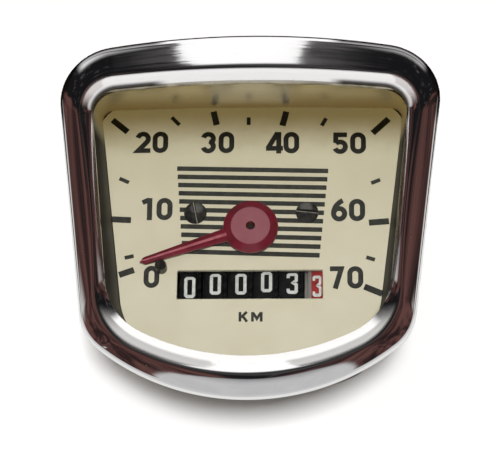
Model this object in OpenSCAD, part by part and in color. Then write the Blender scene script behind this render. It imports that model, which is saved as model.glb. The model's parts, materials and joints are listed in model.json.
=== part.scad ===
// Moped speedometer with a shield-shaped chromed bezel, an eddy-current movement and a six-drum odometer.
// The dial faces +Z, twelve o'clock is +Y, and the pointer and drive axis is the Z axis.
// The origin lies where the drive collar leaves the back of the case. All sizes are in millimetres.

/* [Bezel] */
// Width of the bezel beside the opening, measured across the pointer axis
rim_side_w = 5.95; // [5.3:0.05:9.2]
// Lean of the bezel's sides from the centre line, in degrees
bezel_lean = 7.2; // [6:0.1:8]
// Width of the bezel above the opening
rim_top_w = 9.4; // [8.3:0.05:12.5]
// Radius of the arched top edge
bezel_top_r = 166; // [120:1:260]
// Radius of the top corners
bezel_top_corner = 11.5; // [10.5:0.5:14]
// Width of the bezel below the opening
rim_bottom_w = 8.35; // [7.4:0.05:12.2]
// Radius of the arched bottom edge
bezel_bottom_r = 47; // [44:1:60]
// Radius of the bottom corners
bezel_bottom_corner = 9; // [8.5:0.5:11]
// Thickness of the bezel's sheet
bezel_sheet = 0.8; // [0.6:0.05:1]
// Width of the bevel that falls from the crest to the glass
bevel_w = 3.05; // [2.5:0.05:3.5]
// Height of the crest above the glass
crest_h = 2.3; // [2:0.05:3.2]
// How far the face falls from the crest before it rolls over
cone_h = 1.05; // [0.8:0.05:1.3]
// Height of the rolled outer edge
edge_roll_h = 1.35; // [1.1:0.05:1.5]
// How far the skirt leans in on its way back to the case
skirt_lean = 1; // [0.6:0.1:1.3]
// How far the skirt is turned in under the case flange
crimp_w = 1.9; // [1.5:0.1:2.1]

/* [Glass] */
// Half width of the bezel's opening, measured across the pointer axis
open_half_w = 28.75; // [28:0.05:29.2]
// Lean of the opening's sides from the centre line, in degrees
open_lean = 5.9; // [5:0.1:7]
// Top of the opening above the pointer axis
open_top = 27.5; // [26.5:0.1:28.5]
// Radius of the opening's top edge
open_top_r = 240; // [160:5:400]
// Radius of the opening's top corners
open_top_corner = 5; // [4:0.5:7]
// Bottom of the opening below the pointer axis
open_bottom = 29.6; // [29:0.1:30.4]
// Radius of the opening's bottom edge
open_bottom_r = 45; // [42:1:60]
// Radius of the opening's bottom corners
open_bottom_corner = 3.5; // [3:0.5:5]
// Thickness of the glass
lens_t = 2; // [1.5:0.1:2.5]
// How far the glass reaches past the opening
lens_lap = 3; // [2.4:0.1:3.2]
// Thickness of the gasket under the glass
lens_gasket_t = 0.9; // [0.6:0.1:1.2]
// Thickness of the gasket under the spacer ring
case_gasket_t = 0.8; // [0.5:0.1:1.2]

/* [Well] */
// Depth of the well, from the glass gasket to the dial
well_depth = 9.1; // [7:0.1:12]
// How far the well narrows from the glass down to the dial
well_lean = 0.9; // [0.6:0.1:1.4]
// Radius of the well's top edge at the dial, which is almost straight
well_top_r = 900; // [600:50:1500]
// Wall of the spacer ring
ring_wall = 0.7; // [0.5:0.05:0.8]

/* [Case] */
// How far the case lies inside the bezel
case_inset = 3.6; // [3.5:0.05:3.7]
// Wall of the case
case_wall = 0.8; // [0.6:0.05:0.9]
// Half width of the case's back, measured across the pointer axis
back_half_w = 27; // [26.8:0.1:28.5]
// Top of the case's back above the pointer axis
back_top = 27; // [25:0.5:30]
// Bottom of the case's back below the pointer axis
back_bottom = 24.8; // [24.6:0.1:27]
// Radius of the edge round the case's back
case_edge_r = 3; // [2:0.1:3.5]
// Height of the dial's face above the back of the case
dial_z = 37; // [37:0.5:44]

/* [Dial] */
// Thickness of the dial plate
dial_t = 0.8; // [0.5:0.1:1]
// Distance of each dial screw from the centre line
dial_screw_x = 11.15; // [10.5:0.05:12]
// Height of the dial screws above the pointer axis
dial_screw_y = 3.65; // [3.3:0.05:4]
// Radius of a dial screw's head
dial_screw_head_r = 2.25; // [2:0.05:2.4]
// Height of a dial screw's head
dial_screw_head_h = 1.2; // [0.9:0.05:1.2]
// Radius of a dial screw's thread
dial_screw_r = 1.25; // [1:0.05:1.3]
// Angle of the slot in the left and the right dial screw, in degrees
dial_screw_slots = [101.6, -7];
// Radius of the stop pin
stop_pin_r = 1.1; // [0.8:0.05:1.3]
// How far the stop pin stands in from the pointer's tip
stop_pin_in = 4; // [2.8:0.1:6.3]
// Width of the odometer window
window_w = 28.7; // [27:0.1:29.5]
// Height of the odometer window
window_h = 5.94; // [5:0.02:6.5]
// Centre of the odometer window to the right of the pointer axis
window_x = -0.14; // [-0.3:0.02:0.2]

/* [Pointer] */
// Direction of the resting pointer, in degrees from +X
pointer_rest = 198.4; // [190:0.1:205]
// Length of the pointer from its axis to its point
pointer_len = 23.3; // [20:0.1:24]
// Radius of the pointer's hub
hub_r = 5.45; // [5:0.05:6]
// Radius of the flat on top of the hub
hub_flat_r = 3.83; // [3:0.05:4.5]
// Height of the hub
hub_h = 1.3; // [1:0.1:1.6]
// Height of the pointer's underside above the dial
pointer_lift = 1.6; // [1.5:0.05:2.2]
// Width of the blade at the hub
blade_root_w = 2.4; // [1.8:0.05:3]
// Width of the blade before its point
blade_tip_w = 1.2; // [0.8:0.05:1.5]
// Radius of the pointer's arbor
arbor_r = 0.8; // [0.7:0.05:0.9]

/* [Odometer] */
// Radius of the number drums
drum_r = 9; // [8.8:0.05:9.2]
// Distance from one drum to the next
drum_pitch = 5.06; // [5.06:0.01:5.12]
// Width of a drum's number band
band_w = 3.3; // [3.1:0.02:3.3]
// Height of the drum axis below the pointer axis
drum_drop = 11.33; // [11.3:0.01:11.5]
// Gap between the drums and the dial
drum_gap = 0.25; // [0.2:0.05:0.6]
// Radius of the drums' axle
axle_r = 1.5; // [1.2:0.05:1.6]
// Tooth module of the drums' carry gears
carry_module = 0.75; // [0.74:0.005:0.76]
// Radius of the transfer pinions' shaft
pinion_shaft_r = 0.9; // [0.7:0.05:1]
// Thickness of the odometer bracket's sheet
bracket_t = 0.8; // [0.6:0.05:0.9]

/* [Gear train] */
// Tooth module of the wheel on the cross shaft
module_1 = 0.4; // [0.39:0.005:0.41]
// Tooth module of the two wheels that follow
module_2 = 0.5; // [0.49:0.005:0.505]
// Pitch radius of the drive shaft's worm
worm_1_r = 4.3; // [4.2:0.05:4.5]
// Pitch radius of the upright shaft's worm
worm_3_r = 2.5; // [2.4:0.05:2.6]
// Radius of the cross shaft and of the upright shaft
layshaft_r = 0.8; // [0.6:0.05:0.9]
// Distance of the upright shaft from the middle of the tenths drum
upright_out = 5.06; // [4.96:0.05:5.46]

/* [Movement] */
// Thickness of the frame's base plate
frame_t = 1.8; // [1.5:0.1:2.5]
// Radius of the drive shaft
drive_r = 2; // [1.9:0.05:2.1]
// Radius of the magnet
magnet_r = 4.5; // [4:0.1:4.6]
// Height of the magnet
magnet_h = 3.2; // [2.8:0.1:3.4]
// Wall of the keeper cup
keeper_wall = 0.8; // [0.6:0.05:1]
// Wall of the drag cup
cup_wall = 0.4; // [0.3:0.05:0.5]
// Air gap on each side of the drag cup
air_gap = 0.5; // [0.4:0.05:0.6]
// Thickness of the bridge
bridge_t = 1.5; // [1.2:0.1:1.8]
// Radius of the frame's two posts
post_r = 2.4; // [2.1:0.1:2.6]
// Outer radius of the hairspring
hairspring_r = 4.4; // [4:0.1:4.5]
// Turns of the hairspring
hairspring_turns = 5; // [3:1:6]
// Thickness of the hairspring's strip
hairspring_t = 0.16; // [0.1:0.02:0.2]

/* [Fixings] */
// Outer radius of the drive collar's thread
collar_r = 6; // [5.8:0.1:7]
// Length of the drive collar behind the case
collar_len = 12; // [11:0.5:16]
// Radius of the cable's seat in the collar
cable_bore_r = 4; // [3.8:0.05:4.4]
// Depth of the cable's seat
cable_bore_len = 3.6; // [3:0.1:5]
// Width of the square socket in the drive shaft
square_w = 2.6; // [2:0.05:2.6]
// Radius of the thinner end of the stepped mounting studs
stud_r = 2.5; // [2:0.1:3]
// Length of the mounting studs behind the case
stud_len = 14; // [10:0.5:20]
// Distance of each mounting stud from the centre line
stud_x = 14; // [13:0.5:15]
// Height of the mounting studs above the pointer axis
stud_y = 9; // [8.5:0.5:11]

/* [Hidden] */
$fn = 48;

// Clearances: a running shaft, a pressed or screwed fit, and free air round a moving piece
run_gap = 0.05;
fit_gap = 0.02;
free_gap = 0.3;

// Points along each arched edge and round each corner of an outline
edge_steps = 5;
corner_steps = 6;

// Corners and arched bottom edge of the case's back
back_corner = 6;
back_bottom_r = 60;

// Outside of the bezel, from the opening and the widths of the rim
bezel_half_w = open_half_w + rim_side_w;
bezel_top = open_top + rim_top_w;
bezel_bottom = open_bottom + rim_bottom_w;

// Outlines: half width, lean, top, top radius, top corner, bottom, bottom radius, bottom corner
bezel_spec = [bezel_half_w, bezel_lean, bezel_top, bezel_top_r, bezel_top_corner,
  bezel_bottom, bezel_bottom_r, bezel_bottom_corner];
open_spec = [open_half_w, open_lean, open_top, open_top_r, open_top_corner,
  open_bottom, open_bottom_r, open_bottom_corner];
well_spec = [open_half_w - well_lean, open_lean, open_top - well_lean, well_top_r, open_top_corner,
  open_bottom - well_lean, open_bottom_r, open_bottom_corner];

back_spec = [back_half_w, bezel_lean, back_top, bezel_top_r, back_corner,
  back_bottom, back_bottom_r, back_corner];

// Heights of the stack under the bezel
well_top_z = dial_z + well_depth;
lens_z = well_top_z + lens_gasket_t;
lip_z = lens_z + lens_t;
crest_z = lip_z + crest_h;
equator_z = crest_z - cone_h - edge_roll_h;
ring_flange_t = 0.8;
ring_flange_z = well_top_z - ring_flange_t;
case_top_z = ring_flange_z - case_gasket_t;
flange_z = case_top_z - case_wall;
crimp_z = flange_z - bezel_sheet;
taper_z = flange_z - 3.7;
flange_inset = skirt_lean + bezel_sheet + free_gap;
ring_inset = skirt_lean + bezel_sheet;
ring_show = 0.25;

// Gear train: teeth, pitch radii and shaft places
teeth_1 = 20;
teeth_2 = 10;
teeth_3 = 20;
starts_1 = 2;
starts_2 = 1;
starts_3 = 2;
wheel_1_r = module_1 * teeth_1 / 2;
wheel_2_r = module_2 * teeth_2 / 2;
wheel_3_r = module_2 * teeth_3 / 2;
tip_share = 0.9;
root_share = 1.1;
wheel_w = 1.4;
ear_gap = 0.8;
ear_t = 1.4;
worm_len = 5;
slices_per_turn = 14;
frame_z = case_wall;
frame_top = frame_z + frame_t;
wheel_1_tip = wheel_1_r + tip_share * module_1;
worm_3_tip = worm_3_r + tip_share * module_2;
cross_y = -(worm_1_r + wheel_1_r);
cross_z = frame_top + wheel_1_tip + 1;
upright_y = -drum_drop + wheel_3_r + worm_3_r;
cross_to_upright = upright_y - cross_y;
worm_2_pitch_r = cross_to_upright - wheel_2_r;
drum_under = dial_z - dial_t - drum_gap;
drum_z = drum_under - drum_r;

// Movement heights
bush_top = frame_top + 0.6;
thrust_h = 0.7;
keeper_z = cross_z + wheel_1_tip + 0.6;
magnet_z = keeper_z + keeper_wall;
magnet_top = magnet_z + magnet_h;
drive_top = magnet_top + 0.2;
cup_in_r = magnet_r + air_gap;
cup_r = cup_in_r + cup_wall;
keeper_in_r = cup_r + air_gap;
keeper_r = keeper_in_r + keeper_wall;
keeper_top = magnet_top + 0.6;
cup_z = magnet_z + 0.6;
cup_top_z = keeper_top + 0.6;
pivot_r = arbor_r - 0.2;
pivot_depth = 2.2;
spindle_r = drive_r - 0.4;
collet_r = arbor_r + 0.7;
collet_z = cup_top_z + cup_wall + 1.2;
collet_h = 1.1;
hairspring_h = 0.5;
hairspring_z = collet_z + 0.3;
arm_t = 0.6;
bridge_z = collet_z + collet_h + 0.3 + arm_t;
bridge_top = bridge_z + bridge_t;
arm_z = bridge_z - arm_t;
pivot_bush_r = arbor_r + 1.2;
arm_angle = 60;
arm_pin_r = 0.45;
arm_pin_at = hairspring_r + hairspring_t + run_gap + arm_pin_r;

// Bridge, posts and their screws
post_x = 19;
post_y = 2;
bridge_low = -2.4;
bridge_high = dial_screw_y + 2.8;
bridge_end_r = post_y - bridge_low - 0.2;
bridge_screw_r = 1.25;
screw_slot_w = 0.6;
screw_slot_d = 0.5;
pillar_r = dial_screw_r + 0.75;
pillar_spigot_r = 1.2;
tapped_depth = 5;

// Pointer heights
pointer_z = dial_z + pointer_lift;
pointer_top = pointer_z + hub_h;
hub_bevel_h = 0.8;
hub_hole_r = 0.86;
arbor_top_r = arbor_r - 0.2;
arbor_tip_r = arbor_r / 2;
pointer_bush_r = arbor_top_r + 0.9;
pointer_bush_h = 1.6;
pointer_bush_z = pointer_z + 0.4 - pointer_bush_h;
blade_z = pointer_z + 0.15;
blade_edge_h = 0.3;
blade_ridge_h = 0.8;
blade_shoulder = pointer_len - 1.3;
stop_pin_at = pointer_len - stop_pin_in;
dial_hole_r = pointer_bush_r + 0.7;
stop_pin_rise = pointer_lift + 1.6;
stop_shank_r = stop_pin_r - 0.4;
window_corner = 0.3;
dial_lap = 1;

// Odometer: drums from left to right, carry gears, pinions and bracket
drum_count = 6;
drum_x0 = -12.36;
drum_x = [for (k = [0:drum_count - 1]) drum_x0 + k * drum_pitch];
upright_x = drum_x[drum_count - 1] + upright_out;
gear_w = 0.75;
lock_w = 0.65;
carry_teeth = 20;
pinion_teeth = 8;
carry_r = carry_module * carry_teeth / 2;
pinion_r = carry_module * pinion_teeth / 2;
carry_centres = carry_r + pinion_r;
carry_tip = 0.87;
carry_root = 1.13;
carry_angle = 225;
pinion_y = -drum_drop + carry_centres * cos(carry_angle);
pinion_z = drum_z + carry_centres * sin(carry_angle);
drum_wall = 1.2;
drum_web = 1;
drum_hub_r = axle_r + 0.9;
drum_hub_w = drum_pitch - 0.16;
lock_r = carry_r - 0.5;
lock_tooth = 0.55;
pinion_lock_r = pinion_r - 0.5;
bracket_left = drum_x[0] - drum_pitch / 2 - 1.5;
bracket_right = upright_x + max(worm_len / 2, worm_3_tip) + free_gap;
bracket_reach = 3.5;
bracket_back = pinion_y - 2;
strip_front = cross_y - wheel_1_tip - free_gap;
strip_back = strip_front - 5;
pin_end = 0.6;
ear_half = 1.25;
ear_z = drum_z + worm_len / 2 + 1;
bracket_screw_y = (strip_back + strip_front) / 2;
bracket_screw_x = [bracket_left + 6.5, bracket_right - 6.5];
bracket_screw_r = 1;

// Drive socket
spigot_r = collar_r - 1;
bush_r = cable_bore_r - 0.4;
bush_flange_r = spigot_r - 0.5;
shaft_end = -(collar_len - cable_bore_len) + 0.4;
square_depth = 6;
stud_root_r = stud_r + 0.5;
stud_step_h = 0.5;
stud_step_gap = 0.1;
stud_head_r = stud_root_r + 0.7;
stud_head_h = 1.2;
washer_t = 1;
nut_h = 4;
nut_flats = 3.3 * stud_root_r;

// Points from angle a0 to a1 on a circle, leaving out the first where it repeats the point before
function arc(c, r, a0, a1, n, first = 0) =
  [for (k = [first:n]) let (a = a0 + (a1 - a0) * k / n) c + r * [cos(a), sin(a)]];

// An outline moved outwards by d all round
function grow(s, d) =
  [s[0] + d / cos(s[1]), s[1], s[2] + d, s[3] + d, s[4] + d, s[5] + d, s[6] + d, s[7] + d];

// Right half of an outline, from the bottom centre to the top centre: each corner touches its arc and the side
function right_half(s) =
  let (
    out = [cos(s[1]), -sin(s[1])],
    up = [sin(s[1]), cos(s[1])],
    top_c = s[2] - s[3],
    low_c = s[6] - s[5],
    top_k = s[0] * cos(s[1]) - s[4],
    low_k = s[0] * cos(s[1]) - s[7],
    top_m = top_c * cos(s[1]) + sqrt(pow(s[3] - s[4], 2) - pow(top_k + top_c * sin(s[1]), 2)),
    low_m = low_c * cos(s[1]) - sqrt(pow(s[6] - s[7], 2) - pow(low_k + low_c * sin(s[1]), 2)),
    top_p = top_k * out + top_m * up,
    low_p = low_k * out + low_m * up,
    top_a = atan2(top_p[1] - top_c, top_p[0]),
    low_a = atan2(low_p[1] - low_c, low_p[0])
  )
  concat(
    arc([0, low_c], s[6], -90, low_a, edge_steps),
    arc(low_p, s[7], low_a, -s[1], corner_steps, 1),
    arc(top_p, s[4], -s[1], top_a, corner_steps),
    arc([0, top_c], s[3], top_a, 90, edge_steps, 1)
  );

// A whole outline, anticlockwise
function outline(s) =
  let (h = right_half(s), n = len(h))
  concat(h, [for (k = [n - 2:-1:1]) [-h[k][0], h[k][1]]]);

function blend(a, b, t) = [for (k = [0:len(a) - 1]) a[k] * (1 - t) + b[k] * t];

function level(points, z) = [for (p = points) [p[0], p[1], z]];

function turned(points, a) = [for (p = points) [p[0] * cos(a) - p[1] * sin(a), p[0] * sin(a) + p[1] * cos(a)]];

function reversed(list) = [for (k = [len(list) - 1:-1:0]) list[k]];

// Half angle, in degrees, that a width takes up on a circle
function half_angle(w, r) = w / (2 * r) * 180 / PI;

// A wheel whose teeth taper from root_w to tip_w
function wheel_points(teeth, root_r, tip_r, root_w, tip_w, turn = 0) =
  [for (k = [0:teeth - 1], e = [-1, -0.5, 0.5, 1])
    let (
      at_tip = abs(e) < 1,
      r = at_tip ? tip_r : root_r,
      half = at_tip ? half_angle(tip_w, tip_r) : half_angle(root_w, root_r),
      a = turn + 360 * k / teeth + sign(e) * half
    )
    r * [cos(a), sin(a)]];

// Section of a worm: one lobe per start, with plain root arcs between them
function worm_points(starts, root_r, tip_r, root_half, tip_half) =
  let (span = 360 / starts, rest = span - 2 * root_half, steps = ceil(rest / 30))
  [for (k = [0:starts - 1])
    each concat(
      [for (e = [-1, 0, 1]) let (a = k * span + e * tip_half) tip_r * [cos(a), sin(a)]],
      [for (j = [0:steps]) let (a = k * span + root_half + rest * j / steps) root_r * [cos(a), sin(a)]]
    )];

// Outline points of a flat spiral strip
function spiral_side(side) =
  let (n = 24 * hairspring_turns, start = collet_r + hairspring_t / 2, end = hairspring_r - hairspring_t / 2)
  [for (k = [0:n])
    let (a = arm_angle - 360 * (n - k) / 24, r = start + (end - start) * k / n + side * hairspring_t / 2)
    r * [cos(a), sin(a)]];

// Skin over a stack of outlines; a ring closes on itself and has no end caps
module loft(loops, ring = false) {
  n = len(loops[0]);
  m = len(loops);
  sides = [for (j = [0:m - (ring ? 1 : 2)], i = [0:n - 1])
    let (a = j * n + i, b = j * n + (i + 1) % n, d = ((j + 1) % m) * n + i, c = ((j + 1) % m) * n + (i + 1) % n)
    each [[a, d, c], [a, c, b]]];
  caps = ring ? [] : [[for (i = [0:n - 1]) i], [for (i = [n - 1:-1:0]) (m - 1) * n + i]];
  polyhedron(points = [for (l = loops) each l], faces = concat(sides, caps), convexity = 8);
}

// A flat ring between two outlines
module flat_ring(outer, inner, z, h) {
  translate([0, 0, z])
    linear_extrude(height = h)
      difference() {
        polygon(outline(outer));
        polygon(outline(inner));
      }
}

module tube(r, bore, z, h) {
  translate([0, 0, z])
    difference() {
      cylinder(r = r, h = h);
      translate([0, 0, -1]) cylinder(r = bore, h = h + 2);
    }
}

// Lay a piece that was built along Z along X, with its own X turned to Y
module along_x(at) {
  translate(at) rotate([90, 0, 90]) children();
}

// A threaded length about the local Z axis, centred, with the first lobe at angle turn in the middle plane
module worm(starts, m, pitch_r, turn) {
  lead = starts * PI * m;
  slices = ceil(slices_per_turn * worm_len / lead);
  thread_root = 1.3 * m;
  thread_tip = 0.8 * m;
  section = worm_points(starts, pitch_r - root_share * m, pitch_r + tip_share * m,
    180 * thread_root / lead, 180 * thread_tip / lead);
  loft([for (k = [0:slices])
    let (z = worm_len * (k / slices - 0.5)) level(turned(section, turn + 360 * z / lead), z)]);
}

module wheel(teeth, m, w, turn = 0) {
  r = m * teeth / 2;
  linear_extrude(height = w, center = true)
    polygon(wheel_points(teeth, r - root_share * m, r + tip_share * m, 1.5 * m, 0.75 * m, turn));
}

// A slotted screw that points down, with its head's underside at z = 0
module slotted_screw(shank_r, shank_len, head_r, head_h, turn) {
  difference() {
    union() {
      translate([0, 0, -shank_len]) cylinder(r = shank_r, h = shank_len);
      cylinder(r = head_r, h = head_h);
    }
    rotate([0, 0, turn])
      translate([-head_r - 1, -screw_slot_w / 2, head_h - screw_slot_d])
        cube([2 * head_r + 2, screw_slot_w, screw_slot_d + 1]);
  }
}

// Rim: pressed bezel, glass, gaskets and spacer ring

// How fast the bevel rounds over into the crest
bevel_power = 1.75;
// Slope of the face in degrees, and the share of its width at which it starts to roll over
cone_angle = 12;
roll_t = 0.79;
// Drop of the skirt below the widest line before it leans in
skirt_drop = 0.5;

function bezel_face(t) = blend(outline(grow(open_spec, bevel_w)), outline(bezel_spec), t);

// Height of the face: a cone from the crest at t = 0, then a quarter ellipse to the widest line at t = 1
function roll_sine(t) = sin(cone_angle) + (1 - sin(cone_angle)) * max(0, (t - roll_t) / (1 - roll_t));
function roll_drop(t) = edge_roll_h * (1 - sqrt(max(0, 1 - pow(roll_sine(t), 2))) / cos(cone_angle));
function face_z(t) = crest_z - cone_h * min(1, t / roll_t) - roll_drop(t);

module bezel() {
  lip_edge = 0.9;
  lip_w = 0.95;
  steps = [0, 0.4, roll_t, 0.87, 0.94, 0.98, 1];
  bevel = concat([[0, 0]], [for (s = [0, 0.3, 0.6, 0.85])
    [s * bevel_w, lip_edge + (crest_h - lip_edge) * (1 - pow(1 - s, bevel_power))]]);
  outside = concat(
    [for (b = bevel) level(outline(grow(open_spec, b[0])), lip_z + b[1])],
    [for (t = steps) level(bezel_face(t), face_z(t))],
    [level(outline(grow(bezel_spec, -0.1)), equator_z - skirt_drop),
      level(outline(grow(bezel_spec, -skirt_lean)), crimp_z),
      level(outline(grow(bezel_spec, -skirt_lean - crimp_w)), crimp_z)]
  );
  inside = concat(
    [level(outline(grow(bezel_spec, -skirt_lean - crimp_w)), flange_z),
      level(outline(grow(bezel_spec, -skirt_lean - bezel_sheet)), flange_z),
      level(outline(grow(bezel_spec, -0.1 - bezel_sheet)), equator_z - skirt_drop),
      level(outline(grow(bezel_spec, -bezel_sheet)), equator_z - 0.2)],
    [for (t = [0.75, 0.5, 0.25, 0.12]) level(bezel_face(t), face_z(t) - bezel_sheet)],
    [level(outline(grow(open_spec, 0.7 * bevel_w)), lip_z + 0.45 * crest_h),
      level(outline(grow(open_spec, lip_w)), lip_z)]
  );
  color("silver") loft(reversed(concat(outside, inside)), ring = true);
}

module lens() {
  color([0.85, 0.92, 0.92, 0.35])
    translate([0, 0, lens_z])
      linear_extrude(height = lens_t)
        polygon(outline(grow(open_spec, lens_lap)));
}

module lens_gasket() {
  color("dimgray")
    flat_ring(grow(open_spec, lens_lap), grow(open_spec, ring_show + ring_wall), well_top_z, lens_gasket_t);
}

module spacer_ring() {
  loops = [
    level(outline(grow(well_spec, ring_wall)), dial_z),
    level(outline(grow(open_spec, ring_show + ring_wall)), ring_flange_z),
    level(outline(grow(bezel_spec, -ring_inset)), ring_flange_z),
    level(outline(grow(bezel_spec, -ring_inset)), well_top_z),
    level(outline(grow(open_spec, ring_show)), well_top_z),
    level(outline(well_spec), dial_z)
  ];
  color("darkkhaki") loft(loops, ring = true);
}

module case_gasket() {
  color("dimgray")
    flat_ring(grow(bezel_spec, -flange_inset), grow(bezel_spec, -case_inset), case_top_z, case_gasket_t);
}

// Stack of outlines of a drawn bowl: a rounded edge round its back, tapered walls and a straight mouth
function bowl_loops(skin, top) =
  let (edge_r = case_edge_r - skin, mouth = outline(grow(bezel_spec, -case_inset - skin)))
  concat(
    [for (k = [0:4]) let (a = 90 * k / 4)
      level(outline(grow(back_spec, -skin - edge_r * (1 - sin(a)))), skin + edge_r * (1 - cos(a)))],
    [level(mouth, taper_z), level(mouth, top)]
  );

module housing() {
  color("slategray")
    difference() {
      union() {
        loft(bowl_loops(0, case_top_z));
        flat_ring(grow(bezel_spec, -flange_inset), grow(bezel_spec, -case_inset - case_wall / 2),
          flange_z, case_wall);
      }
      loft(bowl_loops(case_wall, case_top_z + 1));
      translate([0, 0, -1]) cylinder(r = spigot_r + fit_gap, h = case_wall + 2);
      for (s = [-1, 1])
        translate([s * stud_x, stud_y, -1]) cylinder(r = stud_root_r + fit_gap, h = case_wall + 2);
    }
}

// Dial and what is fixed to it

module dial() {
  color("wheat")
    difference() {
      translate([0, 0, dial_z - dial_t])
        linear_extrude(height = dial_t)
          polygon(outline(grow(well_spec, dial_lap)));
      translate([0, 0, dial_z - dial_t - 1]) {
        cylinder(r = dial_hole_r, h = dial_t + 2);
        for (s = [-1, 1])
          translate([s * dial_screw_x, dial_screw_y, 0]) cylinder(r = dial_screw_r + fit_gap, h = dial_t + 2);
        stop_pin_place() cylinder(r = stop_shank_r + fit_gap, h = dial_t + 2);
        translate([window_x, -drum_drop, 0])
          linear_extrude(height = dial_t + 2) window_shape();
      }
    }
}

module window_shape() {
  square([window_w - 2 * window_corner, window_h], center = true);
  square([window_w, window_h - 2 * window_corner], center = true);
  for (x = [-1, 1], y = [-1, 1])
    translate([x * (window_w / 2 - window_corner), y * (window_h / 2 - window_corner)])
      circle(r = window_corner, $fn = 24);
}

module dial_screws() {
  color("darkslategray")
    for (s = [0, 1])
      translate([(2 * s - 1) * dial_screw_x, dial_screw_y, dial_z])
        slotted_screw(dial_screw_r, dial_t + tapped_depth - 1, dial_screw_head_r, dial_screw_head_h,
          dial_screw_slots[s]);
}

module dial_pillars() {
  color("darkgoldenrod")
    for (s = [-1, 1])
      translate([s * dial_screw_x, dial_screw_y, 0])
        difference() {
          union() {
            translate([0, 0, bridge_top]) cylinder(r = pillar_r, h = dial_z - dial_t - bridge_top);
            translate([0, 0, bridge_z]) cylinder(r = pillar_spigot_r, h = bridge_t);
          }
          translate([0, 0, dial_z - dial_t - tapped_depth])
            cylinder(r = dial_screw_r + fit_gap, h = tapped_depth + 1);
        }
}

// The stop pin stands beside the resting blade and just clears its edge
module stop_pin_place() {
  share = (stop_pin_at - hub_r) / (blade_shoulder - hub_r);
  blade_half = (blade_root_w + (blade_tip_w - blade_root_w) * share) / 2;
  rotate([0, 0, pointer_rest])
    translate([stop_pin_at, blade_half + stop_pin_r + run_gap, 0]) children();
}

module stop_pin() {
  color("dimgray")
    stop_pin_place() {
      translate([0, 0, dial_z - dial_t]) cylinder(r = stop_shank_r, h = dial_t);
      translate([0, 0, dial_z]) cylinder(r = stop_pin_r, h = stop_pin_rise);
    }
}

// Pointer group, which turns on the arbor

function blade_section(w) = [
  [-w / 2, 0], [w / 2, 0], [w / 2, blade_edge_h], [0, blade_ridge_h], [-w / 2, blade_edge_h]
];

module pointer() {
  inner = hub_flat_r;
  slope = (blade_tip_w - blade_root_w) / (blade_shoulder - hub_r);
  inner_w = blade_root_w + slope * (inner - hub_r);
  color("firebrick")
    union() {
      rotate_extrude()
        polygon([
          [hub_hole_r, pointer_top], [hub_hole_r, pointer_bush_z + pointer_bush_h],
          [pointer_bush_r + fit_gap, pointer_bush_z + pointer_bush_h], [pointer_bush_r + fit_gap, pointer_z],
          [hub_r, pointer_z], [hub_r, pointer_top - hub_bevel_h], [hub_flat_r, pointer_top]
        ]);
      rotate([0, 0, pointer_rest])
        along_x([0, 0, blade_z])
          loft([
            level(blade_section(inner_w), inner),
            level(blade_section(blade_tip_w), blade_shoulder),
            level(blade_section(blade_tip_w / 5), pointer_len)
          ]);
    }
}

module pointer_bush() {
  color("goldenrod") tube(pointer_bush_r, arbor_top_r, pointer_bush_z, pointer_bush_h);
}

module pointer_arbor() {
  neck_z = pointer_bush_z - 0.5;
  bush_end = pointer_bush_z + pointer_bush_h;
  color("lightsteelblue") {
    translate([0, 0, drive_top - pivot_depth + 0.3]) cylinder(r = pivot_r, h = pivot_depth);
    translate([0, 0, drive_top + 0.3]) cylinder(r = arbor_r, h = neck_z - drive_top - 0.3);
    translate([0, 0, neck_z]) cylinder(r = arbor_top_r, h = bush_end - neck_z);
    translate([0, 0, bush_end]) cylinder(r = arbor_tip_r, h = 0.4);
  }
}

module drag_cup() {
  color("gainsboro") {
    tube(cup_r, arbor_r, cup_top_z, cup_wall);
    tube(cup_r, cup_in_r, cup_z, cup_top_z - cup_z);
  }
}

module hairspring_collet() {
  color("goldenrod") tube(collet_r, arbor_r, collet_z, collet_h);
}

module hairspring() {
  color("peru")
    translate([0, 0, hairspring_z])
      linear_extrude(height = hairspring_h)
        polygon(concat(spiral_side(1), reversed(spiral_side(-1))));
}

// Fixed movement parts

module movement_frame() {
  ear_x = -wheel_w / 2 - ear_gap - ear_t;
  ear_w = 2 * (layshaft_r + 1.2);
  color("lightslategray")
    difference() {
      union() {
        translate([0, 0, frame_z])
          linear_extrude(height = frame_t)
            polygon(outline(grow(back_spec, -case_edge_r - 1)));
        for (s = [-1, 1])
          translate([s * post_x, post_y, frame_z]) cylinder(r = post_r, h = bridge_z - frame_z);
        translate([ear_x, cross_y - ear_w / 2, frame_z]) cube([ear_t, ear_w, cross_z - frame_z]);
        along_x([ear_x, cross_y, cross_z]) cylinder(r = ear_w / 2, h = ear_t);
      }
      translate([0, 0, frame_z - 1]) cylinder(r = spigot_r + fit_gap, h = frame_t + 2);
      along_x([ear_x - 1, cross_y, cross_z]) cylinder(r = layshaft_r + run_gap, h = ear_t + 2);
      translate([upright_x, upright_y, frame_z - 1]) cylinder(r = layshaft_r + run_gap, h = frame_t + 2);
      for (s = [-1, 1]) {
        translate([s * stud_x, stud_y, frame_z - 1]) cylinder(r = stud_root_r + fit_gap, h = frame_t + 2);
        translate([s * post_x, post_y, bridge_z - tapped_depth])
          cylinder(r = bridge_screw_r + fit_gap, h = tapped_depth + 1);
      }
      for (x = bracket_screw_x)
        translate([x, bracket_screw_y, frame_z - 1]) cylinder(r = bracket_screw_r + fit_gap, h = frame_t + 2);
    }
}

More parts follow.
